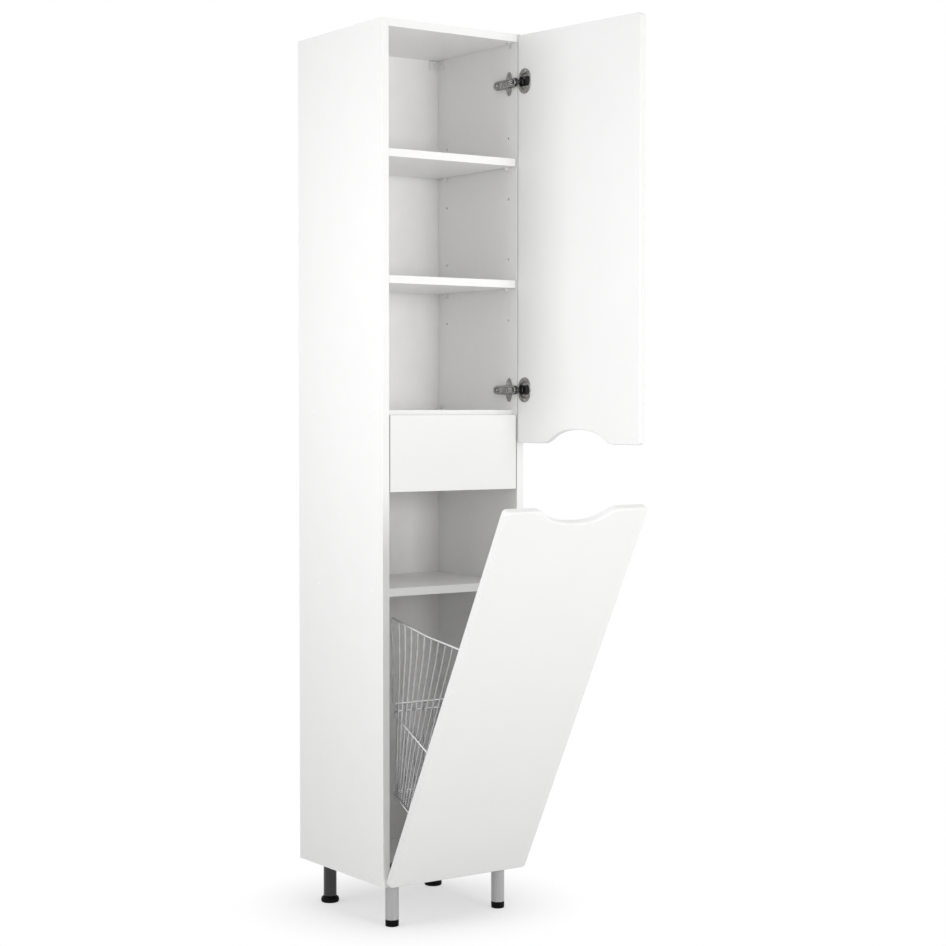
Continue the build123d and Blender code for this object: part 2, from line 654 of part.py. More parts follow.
HINGES = {
    "door_hinge_top": (upper_hinge_plane, UPPER_HINGES[0], UPPER_REACH, UPPER_FACE),
    "door_hinge_bottom": (upper_hinge_plane, UPPER_HINGES[1], UPPER_REACH, UPPER_FACE),
    "hamper_hinge_left": (lower_hinge_plane, LOWER_HINGES[0], LOWER_REACH, LOWER_FACE),
    "hamper_hinge_right": (lower_hinge_plane, LOWER_HINGES[1], LOWER_REACH, LOWER_FACE),
}
groups = {"hinge_plates": [], "hinge_plate_screws": [], "door_cup_screws": [], "hamper_cup_screws": []}
for name, (plane_of, where, reach, face) in HINGES.items():
    fixed = plane_of(where, False)
    turned = plane_of(where, True)
    save(hinge_cup(turned), name + "_cup")
    save(hinge_pin(turned), name + "_pin")
    save(hinge_arm(fixed, reach), name + "_arm")
    groups["hinge_plates"].append(hinge_plate(fixed, reach, face).part)
    groups["hinge_plate_screws"].append(plate_screws(fixed, face).part)
    groups[name.split("_")[0] + "_cup_screws"].append(cup_screws(turned).part)

for name, pieces in groups.items():
    with BuildPart() as group:
        add(pieces)
    save(group, name)

# basket, in the lower door's frame: y from the tilt axis to the back, z upwards from it
BASKET_HALF = INNER - BASKET_SIDE_GAP
CROSS_HALF = BASKET_HALF - FRAME_WIRE - WIRE_GAP
NEAR_Y = BASKET_FRONT + CARCASS_AT
FAR_LOW_Y = NEAR_Y + BASKET_LOW_DEPTH
FAR_Y = BACK_FACE - BASKET_BACK_GAP + CARCASS_AT
BASKET_LOW = FLOOR_TOP + BASKET_LIFT - LOWER_AXIS_Z
NEAR_TOP = NICHE_Z - BASKET_TOP_GAP - LOWER_AXIS_Z
FAR_TOP = NEAR_TOP - BASKET_BACK_DROP
RING_Z = BASKET_LOW + BASKET_RING_RISE


def lift(points):
    """Points of the lower door's frame in the part's frame."""
    return [LOWER_FRAME.from_local_coords(Vector(*p)) for p in points]


def rod(start, end, diameter):
    """A straight wire between two points of the lower door's frame."""
    a, b = lift((start, end))
    with BuildPart(Plane(a, z_dir=b - a)) as piece:
        Cylinder(diameter / 2, (b - a).length, align=UP)
    return piece.part


def loop(points, diameter):
    """A closed wire with rounded bends through points of the lower door's frame."""
    corners = lift(points)
    with BuildPart() as piece:
        with BuildLine() as path:
            FilletPolyline(*corners, radius=WIRE_BEND, close=True)
        start = path.wire() @ 0
        with BuildSketch(Plane(start, z_dir=path.wire() % 0)):
            Circle(diameter / 2)
        sweep(path=path.wire())
    return piece.part


def bent(points, diameter):
    """An open wire with one rounded bend through points of the lower door's frame."""
    corners = lift(points)
    with BuildPart() as piece:
        with BuildLine() as path:
            FilletPolyline(*corners, radius=WIRE_BEND)
        with BuildSketch(Plane(path.wire() @ 0, z_dir=path.wire() % 0)):
            Circle(diameter / 2)
        sweep(path=path.wire())
    return piece.part


def between(a, b, t):
    """The point at a share of the way from one point to another."""
    return tuple(p + (q - p) * t for p, q in zip(a, b))


def rim(t):
    """A point of a flank's rim, as (y, z), at a share of the way from the door to the far corner."""
    near = (NEAR_Y, NEAR_TOP)
    far = (FAR_Y, FAR_TOP)
    y, z = between(near, far, RIM_MID_SHARE)
    middle = (y, z - RIM_SAG)
    if t < RIM_MID_SHARE:
        return between(near, middle, t / RIM_MID_SHARE)
    return between(middle, far, (t - RIM_MID_SHARE) / (1 - RIM_MID_SHARE))


def flank_wire(t):
    """One wire of a flank as (y, z) points: straight from the bottom, then flared out to the rim."""
    low = (NEAR_Y + BASKET_LOW_DEPTH * t, BASKET_LOW)
    top = rim(t)
    aim = (top[0] - FLARE * t, top[1])
    drop = FLARE_DROP + FLARE_MORE * t
    return [low, between(low, aim, 1 - drop / (aim[1] - low[1])), top]


FAR_EDGE = flank_wire(1)
RING_FAR = between(FAR_EDGE[0], FAR_EDGE[1], BASKET_RING_RISE / (FAR_EDGE[1][1] - BASKET_LOW))
BACK_HIGH = between(FAR_EDGE[0], FAR_EDGE[1], BASKET_BACK_RISE / (FAR_EDGE[1][1] - BASKET_LOW))


def side_grille(sign):
    """One flank of the basket: a loop that follows the rim, with wires that fan out to it."""
    x = sign * BASKET_HALF
    frame = [(NEAR_Y, BASKET_LOW), (NEAR_Y, NEAR_TOP), rim(RIM_MID_SHARE), *reversed(FAR_EDGE)]
    wires = [loop([(x, *p) for p in frame], FRAME_WIRE)]
    count = int((FAR_Y - NEAR_Y) / WIRE_STEP)
    for i in range(1, count):
        wires.append(bent([(x, *p) for p in flank_wire(i / count)], MESH_WIRE))
    ring_x = x + sign * RING_OFF
    wires.append(rod((ring_x, NEAR_Y, RING_Z), (ring_x, *RING_FAR), MESH_WIRE))
    with BuildPart() as grille:
        add(wires)
    return grille


def cross_grille(low, high, share, inward):
    """A panel of the basket between two edges, each given as (y, z), with a cross wire inside it."""
    a = (-CROSS_HALF, *low)
    b = (CROSS_HALF, *low)
    c = (CROSS_HALF, *high)
    d = (-CROSS_HALF, *high)
    wires = [loop((a, b, c, d), FRAME_WIRE)]
    count = int(CROSS_HALF / WIRE_STEP)
    for i in range(-count, count + 1):
        wires.append(rod((i * WIRE_STEP, *low), (i * WIRE_STEP, *high), MESH_WIRE))
    rise = (high[0] - low[0], high[1] - low[1])
    off = inward * RING_OFF / hypot(*rise)
    y, z = between(low, high, share)
    ring = (y - off * rise[1], z + off * rise[0])
    wires.append(rod((-CROSS_HALF, *ring), (CROSS_HALF, *ring), MESH_WIRE))
    with BuildPart() as grille:
        add(wires)
    return grille


save(side_grille(-1), "basket_left")
save(side_grille(1), "basket_right")

back_grille = cross_grille((FAR_LOW_Y, BASKET_LOW), BACK_HIGH, 0.5, 1)
save(back_grille, "basket_back")

ring_share = BASKET_RING_RISE / (NEAR_TOP - BASKET_LOW)
front_grille = cross_grille((NEAR_Y, BASKET_LOW), (NEAR_Y, NEAR_TOP), ring_share, -1)
save(front_grille, "basket_front")

step = FRAME_WIRE + WIRE_GAP
floor_grille = cross_grille((NEAR_Y + step, BASKET_LOW), (FAR_LOW_Y - step, BASKET_LOW), 0.5, 1)
save(floor_grille, "basket_bottom")

# on the door, two clips close round the front panel's upper wire and two rests carry its lower wire
CLIP_X = BASKET_HALF - CLIP_INSET


def wire_clip(x, z, lip):
    """A block on the door that holds a wire of the basket in a groove."""
    ends = (x - CLIP_LENGTH / 2, x + CLIP_LENGTH / 2)
    throat = FRAME_WIRE / 2 - CLIP_SNAP
    with BuildPart(LOWER_FRAME) as clip:
        slab(*ends, AXIS_DEEP, NEAR_Y + lip, z - CLIP_TALL / 2, z + CLIP_TALL / 2)
        bar(ends[0], NEAR_Y, z, "x", FRAME_WIRE / 2 + CLIP_PLAY, CLIP_LENGTH, Mode.SUBTRACT)
        slab(*ends, NEAR_Y, NEAR_Y + lip, z - throat, z + throat, Mode.SUBTRACT)
    return clip.part


with BuildPart() as basket_clips:
    for x in (-CLIP_X, CLIP_X):
        add(wire_clip(x, BASKET_LOW, REST_LIP))
        add(wire_clip(x, NEAR_TOP, CLIP_LIP))
save(basket_clips, "basket_clips")

# legs: a plate with screws under the carcass, a tube, a threaded insert and a levelling foot
with BuildPart() as leg_plates:
    with Locations(*[(x, y, BASE - PLATE_T) for x, y in LEGS.values()]):
        Cylinder(PLATE_R, PLATE_T, align=UP)
        with PolarLocations(LEG_SCREW_CIRCLE, 4, start_angle=45):
            Cylinder(LEG_SCREW_R + LEG_SCREW_PLAY, PLATE_T, align=UP, mode=Mode.SUBTRACT)
save(leg_plates, "leg_plates")

with BuildPart() as leg_screws:
    with Locations(*[(x, y, BASE - PLATE_T) for x, y in LEGS.values()]):
        with PolarLocations(LEG_SCREW_CIRCLE, 4, start_angle=45):
            Cylinder(LEG_SCREW_R, PLATE_T + LEG_SCREW_LENGTH, align=UP)
            Cylinder(LEG_SCREW_HEAD_R, LEG_SCREW_HEAD_T, align=DOWN)
save(leg_screws, "leg_screws")

TUBE_LOW = PAD_HEIGHT + PAD_GAP
TUBE_LENGTH = BASE - PLATE_T - TUBE_LOW
TUBE_BORE_R = TUBE_R - TUBE_WALL
for corner, (x, y) in LEGS.items():
    with BuildPart() as tube:
        with Locations((x, y, TUBE_LOW)):
            Cylinder(TUBE_R, TUBE_LENGTH, align=UP)
            Cylinder(TUBE_BORE_R, TUBE_LENGTH, align=UP, mode=Mode.SUBTRACT)
    save(tube, "leg_" + corner)

    with BuildPart() as foot:
        with Locations((x, y, 0)):
            Cylinder(TUBE_R if corner.startswith("front") else REAR_PAD_R, PAD_HEIGHT, align=UP)
        fillet(foot.faces().sort_by(Axis.Z)[-1].edges(), radius=PAD_TOP_R)
        fillet(foot.faces().sort_by(Axis.Z)[0].edges(), radius=PAD_SOLE_R)
        with Locations((x, y, PAD_HEIGHT)):
            Cylinder(STEM_R, STEM_LENGTH, align=UP)
    save(foot, "foot_" + corner)

with BuildPart() as leg_inserts:
    with Locations(*[(x, y, TUBE_LOW) for x, y in LEGS.values()]):
        Cylinder(TUBE_BORE_R - INSERT_PLAY, INSERT_HEIGHT, align=UP)
        Cylinder(STEM_R + STEM_PLAY, INSERT_HEIGHT, align=UP, mode=Mode.SUBTRACT)
save(leg_inserts, "leg_inserts")
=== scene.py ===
"""Looks of a tall column cabinet: white boards and doors, cup hinges, a plated wire basket and steel legs.

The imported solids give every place. This script gives them their finishes and adds the small fittings.
"""

import json
from math import cos, hypot, pi, radians, sin

import bmesh
import bpy
from bpy.props import FloatProperty, FloatVectorProperty, IntProperty, PointerProperty
from mathutils import Matrix, Vector


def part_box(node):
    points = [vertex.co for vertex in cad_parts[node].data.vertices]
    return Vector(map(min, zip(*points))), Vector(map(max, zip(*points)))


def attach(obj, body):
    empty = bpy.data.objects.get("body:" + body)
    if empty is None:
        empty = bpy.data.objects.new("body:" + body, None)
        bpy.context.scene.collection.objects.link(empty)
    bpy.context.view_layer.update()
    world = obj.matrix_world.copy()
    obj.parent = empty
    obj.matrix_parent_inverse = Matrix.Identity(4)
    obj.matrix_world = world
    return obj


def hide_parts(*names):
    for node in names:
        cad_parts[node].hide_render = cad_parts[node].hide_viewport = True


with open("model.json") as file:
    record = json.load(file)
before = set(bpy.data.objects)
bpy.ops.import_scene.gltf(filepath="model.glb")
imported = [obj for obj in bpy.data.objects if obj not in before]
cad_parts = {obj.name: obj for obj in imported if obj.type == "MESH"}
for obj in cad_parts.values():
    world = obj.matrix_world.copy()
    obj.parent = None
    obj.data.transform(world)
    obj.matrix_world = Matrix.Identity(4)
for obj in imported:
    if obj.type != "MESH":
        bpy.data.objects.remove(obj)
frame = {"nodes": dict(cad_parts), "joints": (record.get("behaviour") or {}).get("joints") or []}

bl_info = {
    "name": "Column cabinet",
    "version": (1, 0, 0),
    "blender": (4, 5, 0),
    "location": "View3D > Sidebar > Cabinet",
    "description": "Finishes and fittings of a tall column cabinet with a tilt-out laundry basket",
    "category": "Object",
}

NODES = frame["nodes"]
JOINTS = {joint["name"]: joint for joint in frame["joints"]}
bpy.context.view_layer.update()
CORNERS = ("front_left", "front_right", "rear_left", "rear_right")
DOOR_HINGES = ("door_hinge_top", "door_hinge_bottom")
HAMPER_HINGES = ("hamper_hinge_left", "hamper_hinge_right")
HINGES = DOOR_HINGES + HAMPER_HINGES
BODY_OF_CUP = {name: "upper_door_leaf" if name in DOOR_HINGES else "hamper" for name in HINGES}

# a flat plate's top turned to face out of the board, and a round shape's axis turned into the cabinet
LYING = Matrix(((0, 0, -1, 0), (0, 1, 0, 0), (1, 0, 0, 0), (0, 0, 0, 1)))
FACING = Matrix(((0, 1, 0, 0), (0, 0, 1, 0), (1, 0, 0, 0), (0, 0, 0, 1)))

# edges sharper than the first are eased, and folds sharper than the second stay crisp in the shading
EASED_ANGLE = radians(35.0)
CRISP_ANGLE = radians(32.0)

# steps round a plate's ends, and how near two points of a solid are one
RING_STEPS = 48
ONE_POINT = 1e-5

# a grain stretched along a leg, as drawn metal has it
DRAWN = (1, 1, 0.06)


def length(name, default, description):
    """A length that a user may change."""
    return FloatProperty(
        name=name, description=description, default=default, min=0.0, unit="LENGTH", precision=4
    )


def colour(name, default, description):
    """A colour that a user may change."""
    return FloatVectorProperty(
        name=name, description=description, default=default, min=0.0, max=1.0, size=3, subtype="COLOR"
    )


class CabinetSizes(bpy.types.PropertyGroup):
    """Sizes of the fittings that the solids leave plain."""

    metal_ease: length("Metal edge", 0.0003, "Rounding of the edges of pressed metal")
    plastic_ease: length("Plastic edge", 0.0006, "Rounding of the edges of moulded plastic")
    rim_wire: length("Rim wire", 0.0040, "Thickness of the basket's frame wires")
    mesh_wire: length("Basket wire", 0.0030, "Thickness of the basket's upright wires")
    wire_step: length("Wire step", 0.0220, "Distance between the basket's upright wires")
    wire_bend: length("Wire bend", 0.0100, "Reach of the bends in the basket's wires")
    screw_head: length("Screw head", 0.0034, "Radius of the small screws' heads")
    arm_half: length("Hinge arm", 0.0090, "Half of the width of a hinge arm")
    arm_thick: length("Arm thickness", 0.0050, "Thickness of a hinge arm")
    wing_wide: length("Plate wing", 0.0112, "Half of the width of a hinge plate's wings")
    turned_steps: IntProperty(
        name="Round steps", description="Steps of a round shape", default=40, min=12, max=96
    )


class CabinetColours(bpy.types.PropertyGroup):
    """Colours of the finishes."""

    board: colour("Boards", (0.937, 0.934, 0.926), "White melamine of the carcass")
    front: colour("Doors", (0.90, 0.898, 0.892), "White film of the doors and the drawer front")
    hardboard: colour("Back panel", (0.938, 0.934, 0.924), "White lacquer of the thin panels")
    chrome: colour("Basket frame", (0.80, 0.80, 0.81), "Plating of the basket's frame wires")
    dull: colour("Basket wires", (0.56, 0.56, 0.57), "Plating of the basket's upright wires")
    nickel: colour("Hinges", (0.38, 0.375, 0.365), "Plating of the hinges")
    # the hinges' dark steel is partly painted shade: it also darkens the arms' sides, the beds under the
    # ribs, the bosses' wells and the cups' floors
    link: colour("Hinge links", (0.10, 0.10, 0.10), "Dark steel of the hinges' links")
    zinc: colour("Angles", (0.80, 0.81, 0.82), "Plating of angles, leg plates and bright screws")
    runner: colour("Runners", (0.78, 0.78, 0.77), "Powder coat of the drawer runners")
    tube: colour("Front legs", (0.46, 0.46, 0.465), "Satin metal of the front legs")
    # painted shade: the rear legs are the same tubes as the front ones, darkened for the shade under the
    # cabinet
    shaded_tube: colour("Rear legs", (0.06, 0.06, 0.061), "Dark metal of the rear legs")
    black: colour("Feet", (0.003, 0.003, 0.003), "Black plastic of the feet")
    plastic: colour("Small plastic", (0.85, 0.85, 0.84), "White plastic of pegs, brackets and clips")
    floor: colour("Floor", (0.95, 0.95, 0.95), "Pale studio floor")


def sizes():
    """The sizes set in the sidebar."""
    return bpy.context.scene.cabinet_sizes


def colours():
    """The colours set in the sidebar."""
    return bpy.context.scene.cabinet_colours


def add_node(nodes, kind, values):
    """A new shader node with values on its sockets."""
    made = nodes.new(kind)
    for name, value in values.items():
        made.inputs[name].default_value = value
    return made


def finish(
    name, base, dark, mottle, rough, grain, depth=0.00001, metallic=0.0, stretch=(1, 1, 1), shine=0.5
):
    """A finish with a slight mottle in its colour and its gloss and a fine grain in its surface."""
    if name in bpy.data.materials:
        return bpy.data.materials[name]
    material = bpy.data.materials.new(name)
    material.use_nodes = True
    nodes, links = material.node_tree.nodes, material.node_tree.links
    shader = nodes["Principled BSDF"]
    shader.inputs["Metallic"].default_value = metallic
    shader.inputs["Specular IOR Level"].default_value = shine
    place = nodes.new("ShaderNodeTexCoord")
    scale = add_node(nodes, "ShaderNodeMapping", {"Scale": stretch})
    links.new(place.outputs["Object"], scale.inputs["Vector"])
    patches = add_node(nodes, "ShaderNodeTexNoise", {"Scale": mottle, "Detail": 4.0})
    links.new(scale.outputs["Vector"], patches.inputs["Vector"])
    tint = nodes.new("ShaderNodeValToRGB")
    tint.color_ramp.elements[0].position = 0.35
    tint.color_ramp.elements[0].color = (*[dark * c for c in base], 1.0)
    tint.color_ramp.elements[1].position = 0.62
    tint.color_ramp.elements[1].color = (*base, 1.0)
    links.new(patches.outputs["Fac"], tint.inputs["Fac"])
    links.new(tint.outputs["Color"], shader.inputs["Base Color"])
    limits = {"From Min": 0.3, "From Max": 0.7, "To Min": rough[0], "To Max": rough[1]}
    gloss = add_node(nodes, "ShaderNodeMapRange", limits)
    links.new(patches.outputs["Fac"], gloss.inputs["Value"])
    links.new(gloss.outputs["Result"], shader.inputs["Roughness"])
    fine = add_node(nodes, "ShaderNodeTexNoise", {"Scale": grain, "Detail": 2.0})
    links.new(scale.outputs["Vector"], fine.inputs["Vector"])
    bump = add_node(nodes, "ShaderNodeBump", {"Strength": 0.6, "Distance": depth})
    links.new(fine.outputs["Fac"], bump.inputs["Height"])
    links.new(bump.outputs["Normal"], shader.inputs["Normal"])
    return material


def board_finish():
    """White melamine with a faint pearl grain."""
    return finish(
        "white_melamine", colours().board, dark=0.992, mottle=18.0,
        rough=(0.36, 0.46), grain=900.0, depth=0.00002,
    )


def front_finish():
    """Satin white film, smoother than the boards."""
    return finish(
        "white_film", colours().front, dark=0.994, mottle=9.0,
        rough=(0.30, 0.36), grain=420.0,
    )


def hardboard_finish():
    """White lacquer over fibres."""
    return finish(
        "lacquered_hardboard", colours().hardboard, dark=0.98, mottle=26.0,
        rough=(0.42, 0.55), grain=1400.0, depth=0.00005,
    )


def chrome_finish():
    """Bright plating of the basket's frame wires."""
    return finish(
        "bright_plating", colours().chrome, dark=0.9, mottle=60.0,
        rough=(0.10, 0.2), grain=700.0, metallic=1.0,
    )


def dull_finish():
    """Duller plating of the thin wires."""
    return finish(
        "dull_plating", colours().dull, dark=0.85, mottle=60.0,
        rough=(0.16, 0.28), grain=700.0, metallic=1.0,
    )


def nickel_finish():
    """Nickel plating of the hinges."""
    return finish(
        "nickel_plating", colours().nickel, dark=0.86, mottle=140.0,
        rough=(0.22, 0.36), grain=1500.0, metallic=1.0,
    )


def dark_steel_and_shade_finish():
    """Dark steel of the hinges' links and pins, partly painted shade, also laid as painted shade on the
    arms' sides, under their ribs, in their bosses and on the cups' floors.
    """
    return finish(
        "dark_steel_and_painted_shade", colours().link, dark=0.8, mottle=160.0,
        rough=(0.34, 0.5), grain=1500.0, metallic=1.0,
    )


def zinc_finish():
    """Mottled zinc of angles, leg plates and bright screws."""
    return finish(
        "zinc_plating", colours().zinc, dark=0.85, mottle=220.0,
        rough=(0.3, 0.45), grain=1800.0, metallic=1.0,
    )


def runner_finish():
    """Powder coat with a fine orange peel."""
    return finish(
        "runner_coat", colours().runner, dark=0.97, mottle=70.0,
        rough=(0.4, 0.5), grain=1600.0, depth=0.00004,
    )


def tube_finish():
    """Satin metal drawn along the leg."""
    return finish(
        "satin_tube", colours().tube, dark=0.9, mottle=90.0,
        rough=(0.24, 0.34), grain=1100.0, metallic=0.45, stretch=DRAWN,
    )


def shaded_tube_finish():
    """Painted shade: the legs' metal darkened for the rear legs, which stand in the cabinet's shade, drawn
    along the leg.
    """
    return finish(
        "shaded_tube", colours().shaded_tube, dark=0.85, mottle=90.0,
        rough=(0.24, 0.34), grain=1100.0, metallic=0.8, stretch=DRAWN,
    )


def black_finish():
    """Matt black plastic."""
    return finish(
        "black_moulding", colours().black, dark=0.7, mottle=120.0,
        rough=(0.42, 0.58), grain=1300.0, depth=0.00005, shine=0.08,
    )


def plastic_finish():
    """White plastic of the small parts."""
    return finish(
        "white_moulding", colours().plastic, dark=0.98, mottle=90.0,
        rough=(0.34, 0.44), grain=1200.0, depth=0.00003,
    )


def points(results):
    """The points among the results of a mesh operation."""
    return [v for v in results if isinstance(v, bmesh.types.BMVert)]


def eased(shape, width):
    """Rounds a shape's sharp edges."""
    edges = [e for e in shape.edges if e.is_manifold and e.calc_face_angle() > EASED_ANGLE]
    bmesh.ops.bevel(
        shape,
        geom=edges,
        offset=width,
        offset_type="OFFSET",
        affect="EDGES",
        segments=2,
        profile=0.5,
        material=-1,
        clamp_overlap=True,
    )
    return shape


def block(low, high, ease):
    """A block between two corners with eased edges."""
    low, high = Vector(low), Vector(high)
    shape = bmesh.new()
    bmesh.ops.create_cube(shape, size=1.0)
    place = Matrix.Translation((low + high) / 2) @ Matrix.Diagonal((*(high - low), 1.0))
    bmesh.ops.transform(shape, matrix=place, verts=shape.verts)
    return eased(shape, ease)


def turned(profile, closed=False):
    """A shape turned about the z axis from pairs of radius and height."""
    shape = bmesh.new()
    verts = [shape.verts.new((r, 0.0, h)) for r, h in profile]
    pairs = list(zip(verts, verts[1:])) + ([(verts[-1], verts[0])] if closed else [])
    edges = [shape.edges.new(pair) for pair in pairs]
    bmesh.ops.spin(
        shape,
        geom=verts + edges,
        cent=(0, 0, 0),
        axis=(0, 0, 1),
        angle=2 * pi,
        steps=sizes().turned_steps,
        use_merge=True,
    )
    return shape


def outline(shape, half_x, half_y, oval=False):
    """A loop of edges: straight sides with half-round ends, or an oval."""
    radius = min(half_x, half_y)
    turn = Matrix.Rotation(pi / RING_STEPS, 4, "Z")
    ring = bmesh.ops.create_circle(shape, cap_ends=False, segments=RING_STEPS, radius=radius, matrix=turn)
    made = ring["verts"]
    if oval:
        bmesh.ops.scale(shape, vec=(half_x / radius, half_y / radius, 1.0), verts=made)
    else:
        for axis, half in ((0, half_x), (1, half_y)):
            for sign in (-1, 1):
                step = Vector((0, 0, 0))
                step[axis] = sign * (half - radius)
                bmesh.ops.translate(shape, vec=step, verts=[v for v in made if v.co[axis] * sign > 0])
    return {e for v in made for e in v.link_edges}


def raise_faces(shape, faces, height):
    """Raises flat faces to a solid."""
    results = bmesh.ops.extrude_face_region(shape, geom=faces)["geom"]
    bmesh.ops.translate(shape, vec=(0, 0, height), verts=points(results))
    bmesh.ops.recalc_face_normals(shape, faces=shape.faces)


def plate(half_x, half_y, thick, ease, hole=0.0, oval=False):
    """A flat plate on the xy plane with round ends, and a round hole where one is given."""
    shape = bmesh.new()
    edges = outline(shape, half_x, half_y, oval)
    if hole:
        edges |= outline(shape, hole, hole)
        faces = bmesh.ops.bridge_loops(shape, edges=list(edges))["faces"]
    else:
        faces = bmesh.ops.edgeloop_fill(shape, edges=list(edges))["faces"]
    raise_faces(shape, faces, thick)
    return eased(shape, ease)


def trough(shape, margin, depth):
    """Sinks the middle of a plate's top with sloping sides and leaves a rim."""
    slope = depth / 3
    shape.normal_update()
    top = max((f for f in shape.faces if f.normal.z > 0.9), key=lambda f: f.calc_area())
    bmesh.ops.inset_region(shape, faces=[top], thickness=margin, use_even_offset=True)
    bmesh.ops.inset_region(shape, faces=[top], thickness=slope, depth=-depth, use_even_offset=True)
    return shape


def screw_head(radius, height):
    """A domed screw head with a cross recess, standing on the xy plane."""
    slot_half, slot_reach, fall = 0.1, 0.65, 0.6
    slot_slope, slot_depth = 0.03 * radius, 0.5 * height
    shape = bmesh.new()
    bmesh.ops.create_grid(shape, x_segments=7, y_segments=7, size=1.0)
    cross = []
    for face in shape.faces:
        x, y = (abs(c) for c in face.calc_center_median()[:2])
        if min(x, y) < slot_half and max(x, y) < slot_reach:
            cross.append(face)
    rim = [e for e in shape.edges if e.is_boundary]
    for v in shape.verts:
        far = max(abs(v.co.x), abs(v.co.y))
        round_by = 1.0 + (far / max(hypot(v.co.x, v.co.y), 1e-6) - 1.0) * far**2
        x, y = v.co.x * round_by * radius, v.co.y * round_by * radius
        v.co = Vector((x, y, height * (1.0 - fall * far**3)))
    for v in points(bmesh.ops.extrude_edge_only(shape, edges=rim)["geom"]):
        v.co.z = 0.0
    bmesh.ops.edgeloop_fill(shape, edges=[e for e in shape.edges if e.is_boundary])
    bmesh.ops.recalc_face_normals(shape, faces=shape.faces)
    bmesh.ops.inset_region(shape, faces=cross, thickness=slot_slope, depth=-slot_depth)
    return shape


def node_shape(node):
    """A copy of a node's own shape with its points joined."""
    shape = bmesh.new()
    shape.from_mesh(NODES[node].data)
    bmesh.ops.remove_doubles(shape, verts=shape.verts, dist=ONE_POINT)
    return shape


def copied(node, ease):
    """A node's own shape with eased edges."""
    shape = node_shape(node)
    bmesh.ops.dissolve_limit(shape, angle_limit=radians(1.0), verts=shape.verts, edges=shape.edges)
    return eased(shape, ease)


def solids(node):
    """The lowest and highest corners of each separate solid of a node."""
    shape = node_shape(node)
    seen, boxes = set(), []
    for start in shape.verts:
        if start in seen:
            continue
        group = [start]
        seen.add(start)
        for v in group:
            near = [e.other_vert(v) for e in v.link_edges]
            fresh = [n for n in near if n not in seen]
            seen.update(fresh)
            group.extend(fresh)
        low = Vector([min(v.co[i] for v in group) for i in range(3)])
        high = Vector([max(v.co[i] for v in group) for i in range(3)])
        boxes.append((low, high))
    shape.free()
    return boxes


def add_object(name, data):
    """A new object in the scene."""
    made = bpy.data.objects.new(name, data)
    bpy.context.scene.collection.objects.link(made)
    return made


def wires(routes, bend):
    """Round wires with rounded bends. A route is its points, its thickness and whether it closes."""
    unit, most, pull = 0.001, 0.45, 0.56
    data = bpy.data.curves.new("wires", "CURVE")
    data.dimensions = "3D"
    data.bevel_depth = unit / 2
    data.bevel_resolution = 2
    data.resolution_u = 5
    data.use_fill_caps = True
    for path, thickness, closed in routes:
        corners = [Vector(point) for point in path]
        knots = []
        for i, here in enumerate(corners):
            if not closed and i in (0, len(corners) - 1):
                knots.append((here, None, None))
                continue
            back = corners[i - 1] - here
            ahead = corners[(i + 1) % len(corners)] - here
            reach = min(bend, most * back.length, most * ahead.length)
            start = here + back.normalized() * reach
            end = here + ahead.normalized() * reach
            knots.append((start, None, start.lerp(here, pull)))
            knots.append((end, end.lerp(here, pull), None))
        spline = data.splines.new("BEZIER")
        spline.bezier_points.add(len(knots) - 1)
        spline.use_cyclic_u = closed
        for knot, (at, before, after) in zip(spline.bezier_points, knots):
            knot.co = at
            knot.radius = thickness / unit
            knot.handle_left_type = "VECTOR" if before is None else "FREE"
            knot.handle_right_type = "VECTOR" if after is None else "FREE"
            knot.handle_left = at if before is None else before
            knot.handle_right = at if after is None else after
    holder = add_object("wires", data)
    graph = bpy.context.evaluated_depsgraph_get()
    mesh = bpy.data.meshes.new_from_object(holder.evaluated_get(graph))
    shape = bmesh.new()
    shape.from_mesh(mesh)
    bpy.data.objects.remove(holder)
    bpy.data.curves.remove(data)
    bpy.data.meshes.remove(mesh)
    return shape


def lying(base, x, y, z=0.0):
    """The place of a flat shape on a hinge, with its top facing out of the board."""
    return base @ Matrix.Translation((x, y, z)) @ LYING


def towards(direction, at):
    """The place of a shape whose z axis points in a direction."""
    return Matrix.Translation(at) @ Vector(direction).to_track_quat("Z", "Y").to_matrix().to_4x4()


def add_piece(name, shapes, body, materials, nodes):
    """Joins placed shapes to one piece that rides on a body and stands for its nodes."""
    whole = bmesh.new()
    for shape, place, index in shapes:
        bmesh.ops.transform(shape, matrix=place, verts=shape.verts)
        bmesh.ops.remove_doubles(shape, verts=shape.verts, dist=2e-6)
        bmesh.ops.recalc_face_normals(shape, faces=shape.faces)
        for face in shape.faces:
            face.material_index = index
        step = bpy.data.meshes.new("step")
        shape.to_mesh(step)
        shape.free()
        whole.from_mesh(step)
        bpy.data.meshes.remove(step)
    if not whole.faces:
        raise RuntimeError(name + " has no faces")
    mesh = bpy.data.meshes.new(name)
    whole.to_mesh(mesh)
    whole.free()
    mesh.shade_smooth()
    mesh.set_sharp_from_angle(angle=CRISP_ANGLE)
    for material in materials:
        mesh.materials.append(material)
    piece = add_object(name, mesh)
    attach(piece, body)
    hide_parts(*nodes)
    return piece


def dress(names, material):
    """Gives CAD nodes a finish."""
    for name in names:
        data = NODES[name].data
        data.materials.clear()
        data.materials.append(material)


def hinge_axis(name):
    """The middle of a hinge's pin."""
    low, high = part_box(name + "_pin")
    return (low + high) / 2


def hinge_frame(name, opened):
    """A hinge's frame, turned with its door if opened: z along the axis, y inwards and x into the board."""
    upper = name in DOOR_HINGES
    swing = JOINTS["upper_door_swing" if upper else "hamper_tilt"]["range_deg"][0]
    angle = -radians(swing) if opened else 0.0
    x = Vector((cos(angle), sin(angle), 0.0)) if upper else Vector((0.0, sin(angle), -cos(angle)))
    z = Vector((0.0, 0.0, 1.0)) if upper else Vector((1.0, 0.0, 0.0))
    turn = Matrix((x, z.cross(x), z)).transposed()
    return Matrix.Translation(hinge_axis(name)) @ turn.to_4x4()


